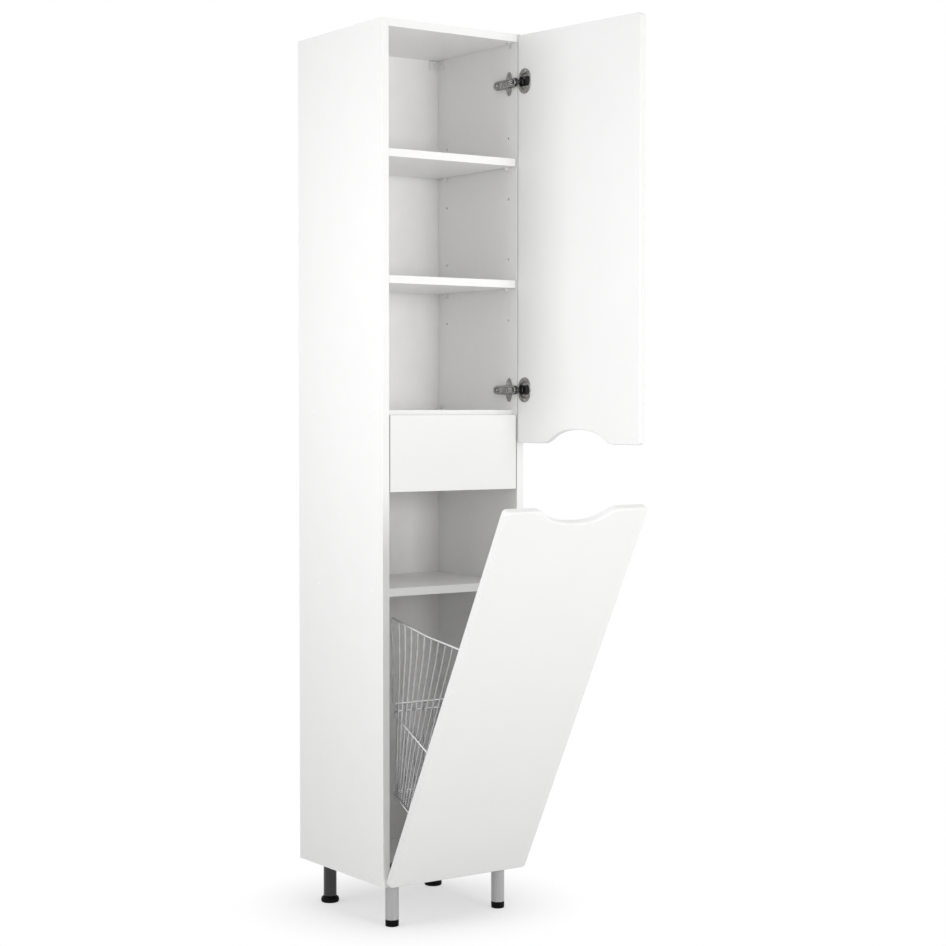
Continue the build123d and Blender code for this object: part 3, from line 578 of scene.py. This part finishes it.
def hinge_heights(name):
    """How far a hinge's axis is from the top of its arm, from its board and from its arm's end."""
    low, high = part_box(name + "_arm")
    at = hinge_axis(name)
    if name in DOOR_HINGES:
        return at.x - low.x, at.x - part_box("right_side")[0].x, high.y - at.y
    return high.z - at.z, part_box("bottom_panel")[1].z - at.z, high.y - at.y


class CABINET_OT_boards(bpy.types.Operator):
    """Gives the carcass boards, the drawer box and the thin panels their finishes"""

    bl_idname = "cabinet.boards"
    bl_label = "Boards"

    def execute(self, context):
        boards = ["left_side", "right_side", "top_panel", "bottom_panel", "divider_panel", "niche_shelf"]
        boards += ["upper_shelf", "lower_shelf", "drawer_side_left", "drawer_side_right", "drawer_back"]
        dress(boards, board_finish())
        dress(["back_panel", "drawer_bottom"], hardboard_finish())
        return {"FINISHED"}


class CABINET_OT_fronts(bpy.types.Operator):
    """Gives both doors and the drawer front their film"""

    bl_idname = "cabinet.fronts"
    bl_label = "Doors and drawer front"

    def execute(self, context):
        dress(["upper_door", "hamper_door", "drawer_front"], front_finish())
        return {"FINISHED"}


class CABINET_OT_hinge_arms(bpy.types.Operator):
    """Makes the four pressed hinge arms with their screws, ribs and dark links, with painted shade on the
    arms' sides, under the ribs and in the bosses
    """

    bl_idname = "cabinet.hinge_arms"
    bl_label = "Hinge arms"

    # the nose's reach past the axis and half of its width
    nose, nose_half = 0.0012, 0.0034
    # depths under the arm's top: the trough's floor, the shell, dark as painted shade, and the cover's edge
    hollow, shell_top, cover_edge = 0.0022, 0.0026, 0.0034
    # places along the arm from the axis
    cover_start, plate_screw = 0.0050, 0.0455
    bed_start, ribs_start, ribs_end, bed_end = 0.0090, 0.0150, 0.0300, 0.0340
    # places along the arm from its end
    cover_end, boss = 0.0002, 0.0098

    def execute(self, context):
        metals = [nickel_finish(), dark_steel_and_shade_finish(), zinc_finish()]
        for name in HINGES:
            top, _, tail = hinge_heights(name)
            base = hinge_frame(name, False)
            shapes = self.shell(base, top, tail) + self.ribs(base, top)
            shapes += self.screws(base, top, tail) + self.knuckle(base, top)
            add_piece(name + "_lever", shapes, "carcass", metals, [name + "_arm"])
        dress([name + "_pin" for name in HINGES], dark_steel_and_shade_finish())
        return {"FINISHED"}

    def shell(self, base, top, tail):
        """The shell, darkened as painted shade along the arm's sides, and the bright, hollow cover on it.
        """
        size = sizes()
        shell_ease, cover_ease, cover_less, rim = 0.0008, 0.0009, 0.0004, 0.0018
        half = (tail + self.nose) / 2
        shell = plate(size.arm_half, half, size.arm_thick - self.shell_top, shell_ease)
        shell_at = lying(base, size.arm_thick - top, half - self.nose)
        half = (tail - self.cover_start - self.cover_end) / 2
        cover = plate(size.arm_half - cover_less, half, self.cover_edge, cover_ease)
        cover_at = lying(base, self.cover_edge - top, self.cover_start + half)
        # the shell takes the dark steel: painted shade along the arm's sides
        return [(shell, shell_at, 1), (trough(cover, rim, self.hollow), cover_at, 0)]

    def ribs(self, base, top):
        """Three ribs in bright zinc, partly painted highlight, over a bed darkened as painted shade."""
        rib_half, pitch, rib_ease = 0.0011, 0.0038, 0.0006
        side, bed_thick, lift = 0.0031, 0.0003, 0.0001
        floor = self.hollow - top
        middle, half = (self.bed_start + self.bed_end) / 2, (self.bed_end - self.bed_start) / 2
        bed = plate(sizes().arm_half - side, half, bed_thick, lift)
        # the bed under the ribs is dark steel, painted shade between them
        shapes = [(bed, lying(base, floor + lift, middle), 1)]
        for off in (-pitch, 0.0, pitch):
            low = (lift - top, self.ribs_start, off - rib_half)
            high = (floor + bed_thick, self.ribs_end, off + rib_half)
            # the ribs' bright zinc is partly painted highlight on the one pressed arm
            shapes.append((block(low, high, rib_ease), base, 2))
        return shapes

    def screws(self, base, top, tail):
        """The boss with a small screw in its well, darkened as painted shade, and the screw into the plate.
        """
        inner, outer, tall = 0.0038, 0.0070, 0.0021
        well, well_thick, well_ease = 0.0037, 0.0003, 0.0001
        small, large, head_tall = 0.0022, 0.0044, 0.0014
        floor = self.hollow - top
        ring = [(inner, 0), (outer, 0), (outer, 0.0014), (0.0060, tall), (0.0044, tall), (inner, 0.0016)]
        boss_at = lying(base, floor, tail - self.boss)
        return [
            (turned(ring, True), boss_at, 0),
            # the well is a dark disc of painted shade
            (plate(well, well, well_thick, well_ease), boss_at, 1),
            (screw_head(small, head_tall), boss_at, 2),
            (screw_head(large, head_tall), lying(base, floor, self.plate_screw), 0),
        ]

    def knuckle(self, base, top):
        """The nose of the arm with the eye that goes round the pin, in dark steel that is partly painted
        shade.
        """
        wide, bore, outside = self.nose_half, 0.00155, 0.0024
        lap, ease = 0.002, 0.0004
        start = sizes().arm_thick - top - lap
        nose = block((start, -self.nose, -wide), (0.0, self.nose, wide), ease)
        eye = turned([(bore, -wide), (outside, -wide), (outside, wide), (bore, wide)], True)
        return [(nose, base, 1), (eye, base, 1)]


class CABINET_OT_hinge_plates(bpy.types.Operator):
    """Makes the mounting plates of the hinges with their oval wings and screws"""

    bl_idname = "cabinet.hinge_plates"
    bl_label = "Hinge plates"

    def execute(self, context):
        size = sizes()
        start, end, rail_ease = 0.0205, 0.0545, 0.0008
        middle, wing_long, wing_thick, wing_ease = 0.0375, 0.025, 0.002, 0.0006
        seat, screw_off, head_tall = 0.0019, 0.019, 0.0011
        half = size.arm_half + 0.0005
        shapes = []
        screws = []
        for name in HINGES:
            top, face, _ = hinge_heights(name)
            base = hinge_frame(name, False)
            rail = block((size.arm_thick - top, start, -half), (-face, end, half), rail_ease)
            shapes.append((rail, base, 0))
            wing = plate(wing_long, size.wing_wide, wing_thick, wing_ease, oval=True)
            shapes.append((wing, lying(base, -face, middle), 0))
            for off in (-screw_off, screw_off):
                head = screw_head(size.screw_head, head_tall)
                screws.append((head, lying(base, -face - seat, middle, off), 0))
        metals = [nickel_finish()]
        add_piece("plates_of_hinges", shapes, "carcass", metals, ["hinge_plates"])
        add_piece("screws_of_plates", screws, "carcass", metals, ["hinge_plate_screws"])
        return {"FINISHED"}


class CABINET_OT_hinge_cups(bpy.types.Operator):
    """Makes the hinge cups with their flanges, steps, ears and screws"""

    bl_idname = "cabinet.hinge_cups"
    bl_label = "Hinge cups"

    # the cup's middle on the open hinge, its radii inside and outside, and its floor and underside
    middle = (-0.0135, 0.007, 0)
    bore, outside = 0.0166, 0.0174
    floor, underside = -0.0105, -0.0115

    def execute(self, context):
        screw_off, seat, head, head_tall = 0.0218, 0.0011, 0.0033, 0.001
        screws = {"door_cup_screws": [], "hamper_cup_screws": []}
        metals = [nickel_finish(), dark_steel_and_shade_finish()]
        for name in HINGES:
            base = hinge_frame(name, True)
            place = base @ Matrix.Translation(self.middle) @ FACING
            shapes = self.bowl(place)
            for side in (-1, 1):
                shapes.append((self.shoulder(side), place, 0))
                shapes.append((self.ear(side), base, 1))
                at = place @ Matrix.Translation((side * screw_off, 0, seat))
                screws[name.split("_")[0] + "_cup_screws"].append((screw_head(head, head_tall), at, 0))
            add_piece(name + "_bowl", shapes, BODY_OF_CUP[name], metals, [name + "_cup"])
        for node, body in (("door_cup_screws", "upper_door_leaf"), ("hamper_cup_screws", "hamper")):
            add_piece("heads_of_" + node, screws[node], body, [nickel_finish()], [node])
        return {"FINISHED"}

    def bowl(self, place):
        """The flange with its bead, the cup's wall and its floor, darkened as painted shade."""
        half_long, half_wide, thick, ease = 0.026, 0.017, 0.0012, 0.0005
        bore, outside, floor, low = self.bore, self.outside, self.floor, self.underside
        chamfer, dark, lap = 0.001, 0.0152, 0.0001
        flange = plate(half_long, half_wide, thick, ease, hole=bore)
        bead = turned([(bore, 0.001), (0.0183, 0.001), (0.0179, 0.0016), (0.0171, 0.0018)], True)
        wall = [(0, low), (outside - chamfer, low), (outside, floor), (outside, 0.0011), (bore, 0.0013)]
        wall += [(bore, floor + chamfer), (bore - chamfer, floor), (0, floor)]
        # a dark disc on the cup's floor is painted shade in the recess
        disc = turned([(0, 0), (dark, 0), (dark + 0.0002, 0.0002), (0, 0.0003)])
        disc_at = place @ Matrix.Translation((0, 0, floor - lap))
        return [(flange, place, 0), (bead, place, 0), (turned(wall), place, 0), (disc, disc_at, 1)]

    def shoulder(self, side):
        """A flat step inside the cup, beside the slot of the link."""
        slot_half, low, tall, lap, ease = 0.0098, -0.0098, 0.0085, 0.0001, 0.0005
        shape = bmesh.new()
        bmesh.ops.create_circle(shape, cap_ends=True, segments=RING_STEPS, radius=self.bore + lap)
        cut = shape.verts[:] + shape.edges[:] + shape.faces[:]
        bmesh.ops.bisect_plane(
            shape, geom=cut, plane_co=(side * slot_half, 0, 0), plane_no=(-side, 0, 0), clear_outer=True
        )
        raise_faces(shape, shape.faces[:], tall)
        bmesh.ops.translate(shape, vec=(0, 0, low), verts=shape.verts)
        return eased(shape, ease)

    def ear(self, side):
        """An ear of the cup, beside the arm's eye, in dark steel that is partly painted shade."""
        start, end, half, reach, ease = 0.0038, 0.006, 0.0022, 0.004, 0.0006
        low, high = sorted((side * start, side * end))
        return block((-half, -reach, low), (half, half, high), ease)


class CABINET_OT_basket(bpy.types.Operator):
    """Bends the wires of the laundry basket on the tilt-out door"""

    bl_idname = "cabinet.basket"
    bl_label = "Wire basket"

    # depths and heights of the basket on the shut door, and half of its width
    near, far_low = 0.0175, 0.1055
    low, ring, rear_top, front_top = 0.142, 0.292, 0.306, 0.544
    half_wide = 0.141
    # the rim's middle and its far corner, as depth and height
    rim_middle, rim_far = (0.147, 0.497), (0.2765, 0.460)

    def execute(self, context):
        joint = JOINTS["hamper_tilt"]
        tilt = -radians(joint["range_deg"][0])
        place = Matrix.Translation(joint["pos_m"]) @ Matrix.Rotation(tilt, 4, "X")
        bend = sizes().wire_bend
        shapes = [(wires(self.frame_routes(), bend), place, 0), (wires(self.thin_routes(), bend), place, 1)]
        nodes = ["basket_left", "basket_right", "basket_back", "basket_front", "basket_bottom"]
        add_piece("basket", shapes, "hamper", [chrome_finish(), dull_finish()], nodes)
        return {"FINISHED"}

    def frame_routes(self):
        """The rim and the two level rings."""
        wide, thick = self.half_wide, sizes().rim_wire
        _, bend, corner = self.flank(1.0)
        rim = [(self.near, self.front_top), self.rim(0.25), self.rim(0.5), self.rim(0.8), corner, bend]
        rim.append((self.back(self.rear_top), self.rear_top))
        routes = [([(-wide, *p) for p in rim] + [(wide, *p) for p in reversed(rim)], thick, True)]
        for z in (self.low + self.gap(), self.ring):
            y = self.back(z)
            path = [(-wide, self.near, z), (wide, self.near, z), (wide, y, z), (-wide, y, z)]
            routes.append((path, thick, True))
        return routes

    def thin_routes(self):
        """The wires from front to rear along the bottom, and those from flank to flank."""
        size, gap = sizes(), self.gap()
        front, rear, top = self.near + gap, self.far_low - gap, self.rear_top - gap / 2
        routes = []
        count = int(self.half_wide / size.wire_step)
        for i in range(-count, count + 1):
            x = i * size.wire_step
            path = [(x, front, self.front_top), (x, front, self.low), (x, rear, self.low)]
            path.append((x, self.back(top) - gap, top))
            routes.append((path, size.mesh_wire, False))
        inner = self.half_wide - gap
        count = int((self.rim_far[0] - self.near) / size.wire_step)
        for i in range(1, count):
            half = self.flank(i / count)
            path = [(-inner, *p) for p in reversed(half)] + [(inner, *p) for p in half]
            routes.append((path, size.mesh_wire, False))
        return routes

    def gap(self):
        """How far apart the middles of a frame wire and a thin wire are."""
        weld = 0.0003
        return (sizes().rim_wire + sizes().mesh_wire) / 2 - weld

    def back(self, z):
        """How far back the rear panel is at a height."""
        _, (bend_y, bend_z), _ = self.flank(1.0)
        return self.far_low + (bend_y - self.far_low) * (z - self.low) / (bend_z - self.low)

    def rim(self, t):
        """A point of a flank's rim, as depth and height, at a share of the way to the far corner."""
        middle = Vector(self.rim_middle)
        if t < 0.5:
            return tuple(Vector((self.near, self.front_top)).lerp(middle, 2 * t))
        return tuple(middle.lerp(Vector(self.rim_far), 2 * t - 1))

    def flank(self, t):
        """A flank's wire as depths and heights: straight from the bottom, then flared out to the rim."""
        flare, drop = 0.010 * t, 0.025 + 0.040 * t
        low = Vector((self.near + (self.far_low - self.near) * t, self.low))
        top = Vector(self.rim(t))
        aim = top - Vector((flare, 0.0))
        bend = aim.lerp(low, drop / (aim.y - low.y))
        return [tuple(low), tuple(bend), tuple(top)]


class CABINET_OT_basket_clips(bpy.types.Operator):
    """Makes the clips that hold the basket on its door"""

    bl_idname = "cabinet.basket_clips"
    bl_label = "Basket clips"

    def execute(self, context):
        node = "basket_clips"
        shapes = [(copied(node, sizes().plastic_ease), Matrix(), 0)]
        add_piece("clips_of_basket", shapes, "hamper", [plastic_finish()], [node])
        return {"FINISHED"}


class CABINET_OT_legs(bpy.types.Operator):
    """Makes the four leg tubes with their plates and screws"""

    bl_idname = "cabinet.legs"
    bl_label = "Legs"

    def execute(self, context):
        wall, chamfer, flare = 0.0013, 0.0004, 0.0022
        disc_radius, disc_thick = 0.027, 0.002
        head, head_tall = 0.0036, 0.0013
        plates = []
        for corner in CORNERS:
            low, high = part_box("leg_" + corner)
            at = Matrix.Translation(((low.x + high.x) / 2, (low.y + high.y) / 2, low.z))
            tall, r = high.z - low.z, (high.x - low.x) / 2
            profile = [(r - wall, 0), (r - chamfer, 0), (r, chamfer), (r, tall - 0.003)]
            profile += [(r + 0.0008, tall - 0.0012), (r + flare, tall), (r - wall, tall)]
            tube = [(turned(profile, True), at, 0)]
            # the rear legs take the darkened copy of the tube metal, as painted shade
            metal = tube_finish() if corner.startswith("front") else shaded_tube_finish()
            add_piece("tube_" + corner, tube, "carcass", [metal], ["leg_" + corner])
            disc = [(0, 0.0003), (disc_radius - 0.0008, 0), (disc_radius, 0.0006)]
            disc += [(disc_radius, disc_thick), (0, disc_thick)]
            plates.append((turned(disc), at @ Matrix.Translation((0, 0, tall)), 0))
        add_piece("plates_of_legs", plates, "carcass", [zinc_finish()], ["leg_plates"])
        screws = []
        for low, high in solids("leg_screws"):
            at = ((low.x + high.x) / 2, (low.y + high.y) / 2, low.z + head_tall)
            screws.append((screw_head(head, head_tall), towards((0, 0, -1), at), 0))
        add_piece("screws_of_legs", screws, "carcass", [zinc_finish()], ["leg_screws"])
        dress(["leg_inserts"], black_finish())
        return {"FINISHED"}


class CABINET_OT_feet(bpy.types.Operator):
    """Turns the four black levelling feet with their threaded stems"""

    bl_idname = "cabinet.feet"
    bl_label = "Feet"

    # radii of the thread and of the stem's end, the thread's pitch, and the gap under the tube
    crest, root, tip = 0.004, 0.0036, 0.0032
    pitch, clear = 0.002, 0.0005

    def execute(self, context):
        for corner in CORNERS:
            low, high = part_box("foot_" + corner)
            at = Matrix.Translation(((low.x + high.x) / 2, (low.y + high.y) / 2, 0))
            r, pad = (high.x - low.x) / 2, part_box("leg_" + corner)[0].z - self.clear
            sole = self.narrow(r, pad) if corner.startswith("front") else self.wide(r, pad)
            piece = [(turned(sole + self.stem(pad, high.z)), at, 0)]
            body = "foot_" + corner + "_screw"
            add_piece("pad_" + corner, piece, body, [black_finish()], ["foot_" + corner])
        return {"FINISHED"}

    def narrow(self, r, pad):
        """The outline of a front foot: a short cylinder with a groove round it."""
        groove = r - 0.0005
        profile = [(0, 0), (r - 0.0018, 0), (r - 0.0006, 0.0005), (r, 0.0017), (r, 0.0038)]
        profile += [(groove, 0.0043), (groove, 0.0051), (r, 0.0056), (r, pad - 0.0008)]
        return profile + [(r - 0.0006, pad), (self.crest, pad)]

    def wide(self, r, pad):
        """The outline of a rear foot: a rounded disc that narrows towards its tube."""
        profile = [(0, 0), (r - 0.003, 0), (r - 0.0014, 0.0006), (r - 0.0003, 0.0026), (r, 0.0052)]
        profile += [(r - 0.0004, 0.0082), (r - 0.0016, 0.0108), (r - 0.0042, 0.0129), (r - 0.0062, pad)]
        return profile + [(self.crest, pad)]

    def stem(self, z, end):
        """The outline of the threaded stem, from the foot to the stem's end."""
        profile = []
        while z + self.pitch < end:
            profile += [(self.root, z + self.pitch / 2), (self.crest, z + self.pitch)]
            z += self.pitch
        return profile + [(self.tip, end), (0, end)]


class CABINET_OT_covers(bpy.types.Operator):
    """Makes the screw covers, and the shelf pegs with small angles at the rear ones"""

    bl_idname = "cabinet.covers"
    bl_label = "Screw covers and shelf pegs"

    def execute(self, context):
        caps = [self.cap(low, high) for low, high in solids("screw_caps")]
        add_piece("covers_of_screws", caps, "carcass", [board_finish()], ["screw_caps"])
        pegs = []
        for low, high in solids("shelf_pegs"):
            pegs += self.peg(low, high)
        add_piece("pegs_of_shelves", pegs, "carcass", [plastic_finish()], ["shelf_pegs"])
        dress(["carcass_screws"], zinc_finish())
        return {"FINISHED"}

    def cap(self, low, high):
        """A flat dome on the outside of a side board."""
        r, tall = 0.006, 0.0008
        sign = 1 if low.x > 0 else -1
        at = (low.x if sign > 0 else high.x, (low.y + high.y) / 2, (low.z + high.z) / 2)
        dome = [(0, 0), (r, 0), (0.0058, 0.00025), (0.0049, 0.0006), (0.003, 0.00076), (0, tall)]
        return turned(dome), towards((sign, 0, 0), at), 0

    def peg(self, low, high):
        """A peg with a collar, and a small angle under the shelf if it is a rear one."""
        pin, collar, deep, long = 0.0025, 0.004, 0.0085, high.x - low.x
        arm, thick, half, ease = 0.011, 0.0016, 0.0045, 0.0005
        sign = 1 if low.x > 0 else -1
        at = (high.x if sign > 0 else low.x, (low.y + high.y) / 2, (low.z + high.z) / 2)
        profile = [(0, 0), (pin, 0), (pin, deep), (0.0038, deep), (collar, deep + 0.0003)]
        profile += [(collar, deep + 0.0012), (0.0037, deep + 0.0015), (pin, deep + 0.0016)]
        profile += [(pin, long - 0.001), (0.0021, long - 0.0003), (0.0014, long), (0, long)]
        shapes = [(turned(profile), towards((-sign, 0, 0), at), 0)]
        if at[1] > 0:
            face, top = at[0] - sign * deep, at[2] + pin
            for reach, drop in ((thick, arm), (arm, thick)):
                left, right = sorted((face, face - sign * reach))
                leg = block((left, at[1] - half, top - drop), (right, at[1] + half, top), ease)
                shapes.append((leg, Matrix(), 0))
        return shapes


class CABINET_OT_brackets(bpy.types.Operator):
    """Makes the corner angles and the wall brackets with their screws"""

    bl_idname = "cabinet.brackets"
    bl_label = "Angles and wall brackets"

    def execute(self, context):
        self.angles()
        for side, sign in (("left", -1), ("right", 1)):
            self.hanger(side, sign)
        return {"FINISHED"}

    def angles(self):
        """The angles under the top board and on the lower ones, with a screw in each leg."""
        node, head, head_tall = "corner_angles", 0.0026, 0.001
        thick, screw_off, top_part = 0.0014, 0.0070, 1.5
        shapes = [(copied(node, sizes().metal_ease), Matrix(), 0)]
        for low, high in solids(node):
            sign = 1 if low.x > 0 else -1
            wall, middle = high.x if sign > 0 else low.x, (low.y + high.y) / 2
            board, way = (high.z, -1) if low.z > top_part else (low.z, 1)
            on_board = (wall - sign * screw_off, middle, board + way * thick)
            on_wall = (wall - sign * thick, middle, board + way * screw_off)
            for direction, at in (((0, 0, way), on_board), ((-sign, 0, 0), on_wall)):
                shapes.append((screw_head(head, head_tall), towards(direction, at), 0))
        add_piece("angles_of_carcass", shapes, "carcass", [zinc_finish()], [node])

    def hanger(self, side, sign):
        """A wall bracket with the screw that holds it on its side board."""
        node, head, head_tall = "wall_bracket_" + side, 0.0034, 0.0011
        seat, screw_in = 0.0019, 0.008
        low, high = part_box(node)
        wall = (high.x if sign > 0 else low.x) - sign * seat
        at = (wall, low.y + screw_in, (low.z + high.z) / 2)
        shapes = [(copied(node, sizes().metal_ease), Matrix(), 0)]
        shapes.append((screw_head(head, head_tall), towards((-sign, 0, 0), at), 1))
        materials = [plastic_finish(), zinc_finish()]
        add_piece("hanger_" + side, shapes, "carcass", materials, [node])


class CABINET_OT_runners(bpy.types.Operator):
    """Makes the drawer's runners"""

    bl_idname = "cabinet.runners"
    bl_label = "Drawer runners"

    def execute(self, context):
        ease = sizes().metal_ease
        for side in ("left", "right"):
            for part, body in (("channel", "carcass"), ("bar", "drawer")):
                end = part + "_" + side
                node = "runner_" + end
                shapes = [(copied(node, ease), Matrix(), 0)]
                add_piece("slide_" + end, shapes, body, [runner_finish()], [node])
        return {"FINISHED"}


class CABINET_OT_stage(bpy.types.Operator):
    """Sets the floor, the light and the camera"""

    bl_idname = "cabinet.stage"
    bl_label = "Stage"

    def execute(self, context):
        scene = context.scene
        scene.view_settings.view_transform = "Standard"
        self.floor()
        self.world(scene)
        cabinet, cool = (0.0, -0.1, 1.2), (0.982, 0.99, 1.0)
        door = (0.2, -0.75, 1.12)
        self.lamp("left", (-2.4, 0.05, 1.5), door, size=1.4, power=6.1, spread=76.0, tint=cool)
        self.lamp("front", (0.5, -4.0, 1.2), cabinet, size=1.2, power=46.0)
        self.lamp("fill", (-1.6, -3.4, 1.3), cabinet, size=1.0, power=4.0)
        lens = bpy.data.cameras.new("camera")
        lens.sensor_width = 36.0
        lens.lens = 76.6
        camera = add_object("camera", lens)
        camera.location = (-2.33566, -3.58615, 1.06615)
        camera.rotation_euler = Vector((0.5713, 0.8200, -0.0337)).to_track_quat("-Z", "Y").to_euler()
        scene.camera = camera
        return {"FINISHED"}

    def seen(self, nodes, links):
        """A factor: one where the camera sees a surface, also in a mirror or through glass."""
        path = nodes.new("ShaderNodeLightPath")
        factor = path.outputs["Is Camera Ray"]
        for ray in ("Is Glossy Ray", "Is Transmission Ray"):
            either = nodes.new("ShaderNodeMath")
            either.operation = "MAXIMUM"
            links.new(factor, either.inputs[0])
            links.new(path.outputs[ray], either.inputs[1])
            factor = either.outputs["Value"]
        return factor

    def floor(self):
        """A wide pale floor that keeps the cabinet's shadow and turns white further out; near the cabinet
        it throws back less light, as painted shade.
        """
        shape = bmesh.new()
        bmesh.ops.create_grid(shape, x_segments=8, y_segments=8, size=12.0)
        mesh = bpy.data.meshes.new("floor")
        shape.to_mesh(mesh)
        shape.free()
        floor = add_object("floor", mesh)
        material = bpy.data.materials.new("studio_floor")
        material.use_nodes = True
        nodes, links = material.node_tree.nodes, material.node_tree.links
        nodes.clear()
        seen = self.seen(nodes, links)
        place = nodes.new("ShaderNodeTexCoord")
        far = nodes.new("ShaderNodeVectorMath")
        far.operation = "LENGTH"
        links.new(place.outputs["Object"], far.inputs[0])
        # painted shade: the light the floor throws back is dimmer near the cabinet, to darken the cabinet's
        # lower parts
        shaded_bounce = self.fade(nodes, links, far.outputs["Value"], (0.3, 1.8), (0.63, 0.92))
        tone = nodes.new("ShaderNodeMix")
        tone.data_type = "RGBA"
        tone.inputs["B"].default_value = (*colours().floor, 1.0)
        links.new(seen, tone.inputs["Factor"])
        links.new(shaded_bounce, tone.inputs["A"])
        matt = nodes.new("ShaderNodeBsdfDiffuse")
        links.new(tone.outputs["Result"], matt.inputs["Color"])
        glow = nodes.new("ShaderNodeEmission")
        share = nodes.new("ShaderNodeMath")
        share.operation = "MULTIPLY"
        links.new(seen, share.inputs[0])
        white = self.fade(nodes, links, far.outputs["Value"], (0.13, 0.40), (0.48, 1.0))
        links.new(white, share.inputs[1])
        mix = nodes.new("ShaderNodeMixShader")
        links.new(share.outputs["Value"], mix.inputs["Fac"])
        links.new(matt.outputs["BSDF"], mix.inputs[1])
        links.new(glow.outputs["Emission"], mix.inputs[2])
        out = nodes.new("ShaderNodeOutputMaterial")
        links.new(mix.outputs["Shader"], out.inputs["Surface"])
        mesh.materials.append(material)

    def fade(self, nodes, links, value, reach, shares):
        """A share that rises smoothly over a reach."""
        names = ("From Min", "From Max", "To Min", "To Max")
        rise = add_node(nodes, "ShaderNodeMapRange", dict(zip(names, (*reach, *shares))))
        rise.interpolation_type = "SMOOTHSTEP"
        links.new(value, rise.inputs["Value"])
        return rise.outputs["Result"]

    def world(self, scene):
        """White where it is seen, and a plain soft light all round."""
        world = bpy.data.worlds.new("studio")
        world.use_nodes = True
        nodes, links = world.node_tree.nodes, world.node_tree.links
        nodes.clear()
        tone = (1.0, 1.0, 1.0, 1.0)
        light = add_node(nodes, "ShaderNodeBackground", {"Color": tone, "Strength": 0.645})
        white = add_node(nodes, "ShaderNodeBackground", {"Color": tone})
        mix = nodes.new("ShaderNodeMixShader")
        links.new(self.seen(nodes, links), mix.inputs["Fac"])
        links.new(light.outputs["Background"], mix.inputs[1])
        links.new(white.outputs["Background"], mix.inputs[2])
        out = nodes.new("ShaderNodeOutputWorld")
        links.new(mix.outputs["Shader"], out.inputs["Surface"])
        scene.world = world

    def lamp(self, name, at, target, size, power, spread=180.0, tint=(1.0, 1.0, 1.0)):
        """A soft square lamp."""
        data = bpy.data.lights.new(name, "AREA")
        data.shape = "SQUARE"
        data.size = size
        data.energy = power
        data.color = tint
        data.spread = radians(spread)
        lamp = add_object(name, data)
        lamp.location = at
        lamp.rotation_euler = (Vector(target) - Vector(at)).to_track_quat("-Z", "Y").to_euler()


STEPS = (
    CABINET_OT_boards,
    CABINET_OT_fronts,
    CABINET_OT_hinge_arms,
    CABINET_OT_hinge_plates,
    CABINET_OT_hinge_cups,
    CABINET_OT_basket,
    CABINET_OT_basket_clips,
    CABINET_OT_legs,
    CABINET_OT_feet,
    CABINET_OT_covers,
    CABINET_OT_brackets,
    CABINET_OT_runners,
    CABINET_OT_stage,
)


class CABINET_PT_panel(bpy.types.Panel):
    """Lists the steps and the sizes"""

    bl_idname = "CABINET_PT_panel"
    bl_label = "Column cabinet"
    bl_space_type = "VIEW_3D"
    bl_region_type = "UI"
    bl_category = "Cabinet"

    def draw(self, context):
        for step in STEPS:
            self.layout.operator(step.bl_idname)
        for group in (context.scene.cabinet_sizes, context.scene.cabinet_colours):
            for name in group.__annotations__:
                self.layout.prop(group, name)


CLASSES = (CabinetSizes, CabinetColours, *STEPS, CABINET_PT_panel)


def register():
    for cls in CLASSES:
        bpy.utils.register_class(cls)
    bpy.types.Scene.cabinet_sizes = PointerProperty(type=CabinetSizes)
    bpy.types.Scene.cabinet_colours = PointerProperty(type=CabinetColours)


def unregister():
    del bpy.types.Scene.cabinet_colours
    del bpy.types.Scene.cabinet_sizes
    for cls in reversed(CLASSES):
        bpy.utils.unregister_class(cls)


def main():
    register()
    for step in STEPS:
        group, name = step.bl_idname.split(".")
        getattr(getattr(bpy.ops, group), name)()


if __name__ == "__main__":
    main()
